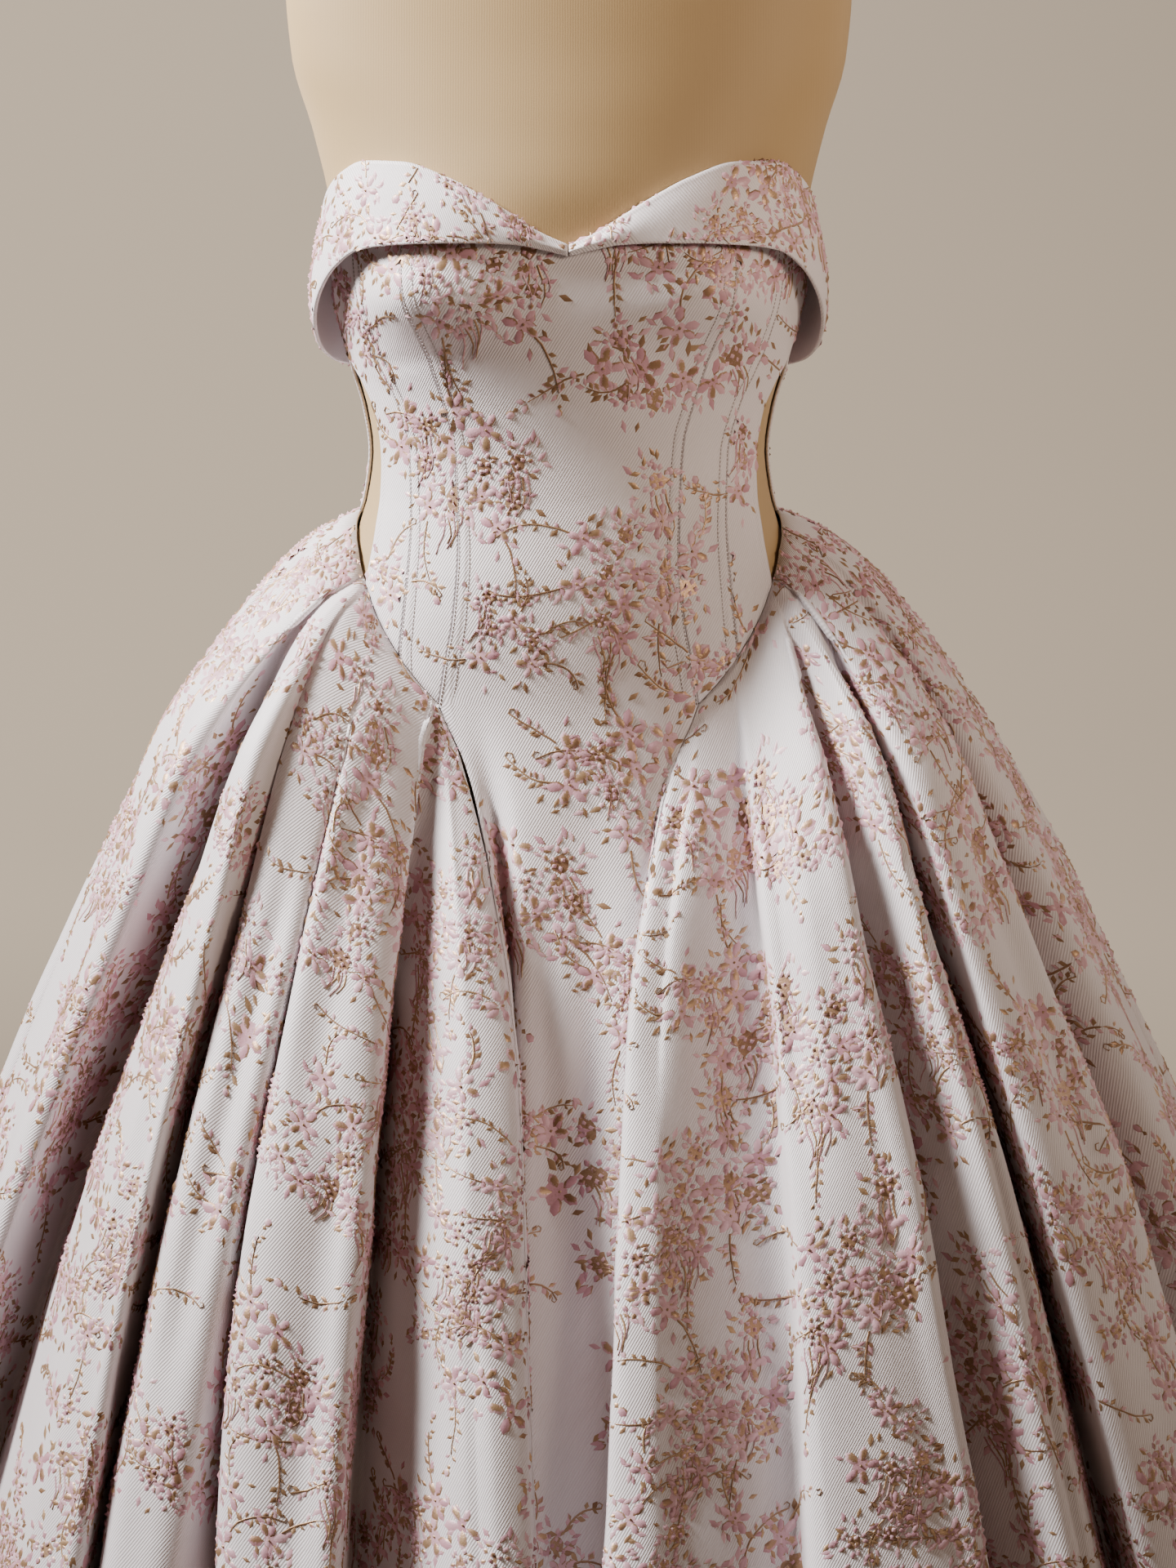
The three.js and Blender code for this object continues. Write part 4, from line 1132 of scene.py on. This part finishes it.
skirt = {}
for name, start, end in (
    ("skirt_back_right", -1, line_of("back_4", 3)),
    ("skirt_side_right", line_of("back_4", 3), CENTRE_START),
    ("skirt_side_left", CENTRE_END, line_of("side_left_b", 3)),
    ("skirt_back_left", line_of("side_left_b", 3), len(LINES) - 1),
):
    places = np.linspace(start, end, COLUMNS_A_LINE * (end - start) + 1)
    points = seam_gap(skirt_points(places, FALLS))
    cuts = [k for k in range(start + 1, end) if k % 4 == 3 and k != line_of("vee_left", 3)]
    corners = []
    for number, (a, b) in enumerate(zip([start] + cuts, cuts + [end])):
        first, last = (COLUMNS_A_LINE * (k - start) for k in (a, b))
        sides = (number * ISLAND_PITCH, -number * ISLAND_DROP)
        part = island_uv(points, first, last, (first + last) // 2, *sides)
        corners.append(corner_uv(part))
    uv = np.concatenate(corners, axis=1)
    panel = grid_mesh(name + "_cloth", points, uv)
    dress(panel, GROUND_CLOTH, "brocade", name)
    hem_width = np.linalg.norm(np.diff(points[-1], axis=0), axis=-1).sum() * MM
    skirt[panel.name] = (panel, uv, hem_width)


# The cuff is a doubled band, folded down over the bodice's top edge in two halves. Its fold is
# soft and round, and it stands off the bodice towards the sides.
CUFF_LOOPS = 160
CUFF_ENDS = (0.15, 179.85)
CUFF_FACE = 12  # steps down its outer face
CUFF_ROUND = 5  # steps round its fold and round its lower edge
CUFF_SEEN = CUFF_ROUND + 2 + CUFF_FACE + 3  # points of the section that are seen from outside
CUFF_UV_STEP = 60  # how far down its flat UV the band's last strip ends
cuff_shares = np.linspace(0, 1, CUFF_LOOPS + 1)
cuff_deg = CUFF_ENDS[0] + (CUFF_ENDS[1] - CUFF_ENDS[0]) * cuff_shares * (0.6 + 0.4 * cuff_shares)


def cuff_section(deg):
    """Heights and distances off the form of the band's section, from its lip over the fold,
    down its face, round its lower edge and up behind it."""
    top, low, stand = (curve(column_of(NECKLINE, k), deg)[:, None] for k in (1, 2, 3))
    thick = CUFF["thick"]
    inner = EASE + CLOTH + CUFF["clear"]
    turn = np.linspace(0, math.pi, CUFF_ROUND + 2)
    reach = (inner + thick - EASE) / 2
    fold_z = top - CUFF["lip"] + CUFF["lip"] * np.sin(turn) ** 0.6
    fold_out = EASE + reach - reach * np.cos(turn)
    s = np.linspace(0, 1, CUFF_FACE + 2)[1:-1]
    bulge = CUFF["bulge"] * np.sin(math.pi * s)
    face_z = top - CUFF["lip"] + (low - top + CUFF["lip"]) * s
    face_out = inner + stand * s + bulge
    edge_z = low - thick / 2 * np.sin(turn) + 0 * top
    edge_out = inner + stand + thick / 2 + thick / 2 * np.cos(turn)
    heights = [fold_z, face_z, edge_z, face_z[:, ::-1]]
    outs = [fold_out + 0 * top, face_out + thick, edge_out, face_out[:, ::-1]]
    return np.concatenate(heights, axis=1), np.concatenate(outs, axis=1)


cuffs = {}
for name, sign in (("cuff_left", 1), ("cuff_right", -1)):
    z, out = cuff_section(cuff_deg)
    points = body_point(sign * cuff_deg[:, None], z, out)
    if sign > 0:
        points = points[::-1]
    along = run_along(points[:, CUFF_ROUND + 1], 0)[:, None]
    uv = np.stack(np.broadcast_arrays(along, -run_along(points, 1)), axis=-1)
    face_uv = corner_uv(uv[:, :CUFF_SEEN])
    outside = grid_mesh(name + "_outside", points[:, :CUFF_SEEN], face_uv)
    closed_uv = corner_uv(np.concatenate([uv, uv[:, :1] - [0, CUFF_UV_STEP]], axis=1))
    band = grid_mesh(name + "_band", points, closed_uv, closed=True, caps=True)
    dress(band, GROUND_CLOTH, "brocade", name)
    cuffs[name] = (band, outside, face_uv)


# The concealed zip closes the centre back. Only its two folded lips show, edge to edge.
ZIP_COLUMNS, ZIP_STEPS = 14, 60
ZIP_GROOVE, ZIP_GROOVE_SHARE = 1.1, 0.16  # depth, and half width as a share of the lips
reach = (1 - 2 * SEAM / ZIP_WIDTH) * (180 - placket(WAIST_Z))
zip_shares = np.linspace(-1, 1, ZIP_COLUMNS + 1)
zip_z = np.linspace(float(top_edge(180.0)), float(bottom_edge(180.0)), ZIP_STEPS + 1)[:, None]
groove = ZIP_GROOVE * np.exp(-((zip_shares / ZIP_GROOVE_SHARE) ** 2))
zip_deg = 180 + reach * zip_shares
zip_points = body_point(zip_deg, zip_z, EASE + CLOTH - groove)
zip_uv = corner_uv(np.stack(np.broadcast_arrays(zip_shares * ZIP_WIDTH / 2, zip_z), axis=-1))
zip_lips = grid_mesh("zip_lips", zip_points, zip_uv)
dress(wall(zip_lips), GROUND_CLOTH, "zip_tape", "back_zip")


# The flowers are woven into each panel before it is cut, so they lie on every piece of cloth
# and run across the bodice's matched seams.
def joined_cloth(name, parts):
    """One plain mesh of several pieces' sheets, with their UV."""
    joined = bmesh.new()
    for part in parts:
        joined.from_mesh(part.data)
    mesh = bpy.data.meshes.new(name)
    joined.to_mesh(mesh)
    joined.free()
    return shown(name, mesh)


SEEDS = {"bodice": 3, "skirt": 11, "cuff": 31}
whole_front = joined_cloth("whole_front", bodice.values())
front_flowers = flowers_on("bodice_flowers", whole_front, SEEDS["bodice"], BODICE_PITCH)
bpy.data.objects.remove(whole_front)
for panel in bodice.values():
    wall(panel)
for seed, (name, (panel, uv, hem_width)) in enumerate(skirt.items(), SEEDS["skirt"]):
    flowers = flowers_on(name.replace("cloth", "flowers"), panel, seed, SKIRT_PITCH)
    wall(panel)
for seed, (name, (band, outside, uv)) in enumerate(cuffs.items(), SEEDS["cuff"]):
    flowers = flowers_on(name + "_flowers", outside, seed, CUFF_PITCH)
    bpy.data.objects.remove(outside)


# Top stitching in fine white thread, sunk a little into the cloth: beside the bones' channels
# and down both sides of the zip.
STITCH_PITCH = 0.0025
STITCH = {"length": 0.0017, "radius": 0.0004}
SEAM_POINTS = 90
THREAD_RISE = 0.05


def white_sewing_thread(tree, place):
    """Mercerised cotton thread: white with a soft gloss, darker grey-brown in random spots along
    it.
    """
    twist = output(tree, "ShaderNodeTexNoise", {"Vector": place, "Scale": 2400})
    return {"Base Color": mixed(tree, twist, "#857A78", "#C3BAB9"), "Roughness": 0.55}


def stitch_tree():
    """Lays a short stitch at every pitch along each line of a set of seam lines."""
    tree, given = new_tree(
        "top_stitches", "Stitches", Seams="Geometry", Pitch="Float", Length="Float",
        Radius="Float", Thread="Material",
    )
    line = output(tree, "GeometryNodeMeshToCurve", {"Mesh": given["Seams"]})
    even = {"Curve": line, "Length": given["Pitch"]}
    even = add_node(tree, "GeometryNodeCurveToPoints", even, mode="LENGTH").outputs
    shape = {"Vertices": 5, "Radius": given["Radius"], "Depth": given["Length"]}
    shape = add_node(tree, "GeometryNodeMeshCylinder", shape).outputs["Mesh"]
    turned = {"Vector": even["Tangent"]}
    turned = output(tree, "FunctionNodeAlignRotationToVector", turned, axis="Z")
    placed = {"Points": even["Points"], "Instance": shape, "Rotation": turned}
    placed = output(tree, "GeometryNodeInstanceOnPoints", placed)
    real = output(tree, "GeometryNodeRealizeInstances", {"Geometry": placed})
    final = output(tree, "GeometryNodeSetMaterial", {"Geometry": real, "Material": given["Thread"]})
    add_node(tree, "NodeGroupOutput", {"Stitches": final})
    return tree


def seam_line(edge, inset, sign):
    """Points on the cloth along a seam, inset from it towards the centre front."""
    shares = np.linspace(0, 1, SEAM_POINTS)
    z = np.full(SEAM_POINTS, WAIST_Z)
    for _ in range(SOLVE_STEPS):
        deg = edge(z) - np.degrees(inset / MEAN_RADIUS)
        high, low = top_edge(deg), bottom_edge(deg)
        z = high + (low - high) * shares
    deg = sign * (edge(z) - np.degrees(inset / MEAN_RADIUS))
    return body_point(deg, z, EASE + CLOTH + relief(deg, z) + THREAD_RISE)


NEAR, FAR = 0.9, 6.9  # distances from a seam to the two rows of stitches beside it
ROWS = ((princess, NEAR), (princess, FAR), (side_front, NEAR), (side_front, FAR), (placket, FAR))
lines = [seam_line(edge, inset, sign) for sign in (-1, 1) for edge, inset in ROWS]
vertices = np.concatenate(lines) * MM
starts = range(0, len(vertices), SEAM_POINTS)
edges = [(a + k, a + k + 1) for a in starts for k in range(SEAM_POINTS - 1)]
mesh = bpy.data.meshes.new("seam_lines")
mesh.from_pydata(vertices.tolist(), edges, [])
seam_lines = shown("seam_lines", mesh)
sewing_thread = material_of(white_sewing_thread)
values = {"Pitch": STITCH_PITCH, "Length": STITCH["length"], "Radius": STITCH["radius"]}
mesh = run_tree(seam_lines, stitch_tree(), {**values, "Thread": sewing_thread})
stitches = shown("top_stitches", mesh)
bpy.data.objects.remove(seam_lines)
dress(stitches, sewing_thread, "brocade")


# The floor runs up into the backdrop in one sweep, as in a photo studio. It is painted with
# matt emulsion, pale and warm, and its wall stands far behind the gown.
def matt_emulsion(tree, place):
    """Matt emulsion, a little clouded."""
    clouds = output(tree, "ShaderNodeTexNoise", {"Vector": place, "Scale": 0.3})
    return {"Base Color": mixed(tree, clouds, "#A89F93", "#B0A799"), "Roughness": 0.9}


REACH, SWEEP_START, SWEEP_RADIUS, SWEEP_STEPS, WALL_TOP = 14.0, 7.0, 5.0, 24, 9.0
profile = [(-REACH, 0.0)]
for step in range(SWEEP_STEPS + 1):
    turn = math.pi / 2 * step / SWEEP_STEPS
    out, up = SWEEP_RADIUS * math.sin(turn), SWEEP_RADIUS * (1 - math.cos(turn))
    profile.append((SWEEP_START + out, up))
profile.append((SWEEP_START + SWEEP_RADIUS, WALL_TOP))
sweep_rows = np.array([[(x, y, z) for x in (-REACH, REACH)] for y, z in profile])
sweep = grid_mesh("floor", sweep_rows / MM)
sweep.data.materials.append(material_of(matt_emulsion))


# Soft daylight falls from high on the picture's left. A weak warm bounce and a broad fill come
# from its right, a wash lights the far wall, and the room glows only faintly, in a warm tone.
def area_light(name, place, aim, size, power, colour, spread=180):
    lamp = shown(name, bpy.data.lights.new(name, "AREA"))
    lamp.data.shape = "RECTANGLE"
    lamp.data.size, lamp.data.size_y = size
    lamp.data.energy = power
    lamp.data.color = linear(colour)[:3]
    lamp.data.spread = math.radians(spread)
    lamp.location = place
    lamp.rotation_mode = "QUATERNION"
    lamp.rotation_quaternion = (Vector(aim) - Vector(place)).to_track_quat("-Z", "Y")


area_light("window", (-2.1, -0.1, 2.8), (0, 0, 1.8), (0.9, 0.9), 116, "#FFFBF8", 90)
area_light("wall_wash", (-2.0, 5.5, 6.5), (-0.6, 10.0, 1.0), (6.0, 2.0), 900, "#FFF6EC")
area_light("bounce", (2.0, -1.6, 2.0), (0, 0, 1.55), (0.8, 0.8), 5.5, "#FFE8D2", 55)
area_light("fill", (4.6, 2.2, 2.6), (0, 0, 0.8), (3.0, 3.0), 60, "#FFEEDF")
world = bpy.data.worlds.new("studio")
world.use_nodes = True
world.node_tree.nodes["Background"].inputs["Color"].default_value = linear("#DBAE8E")
world.node_tree.nodes["Background"].inputs["Strength"].default_value = 0.12
bpy.context.scene.world = world
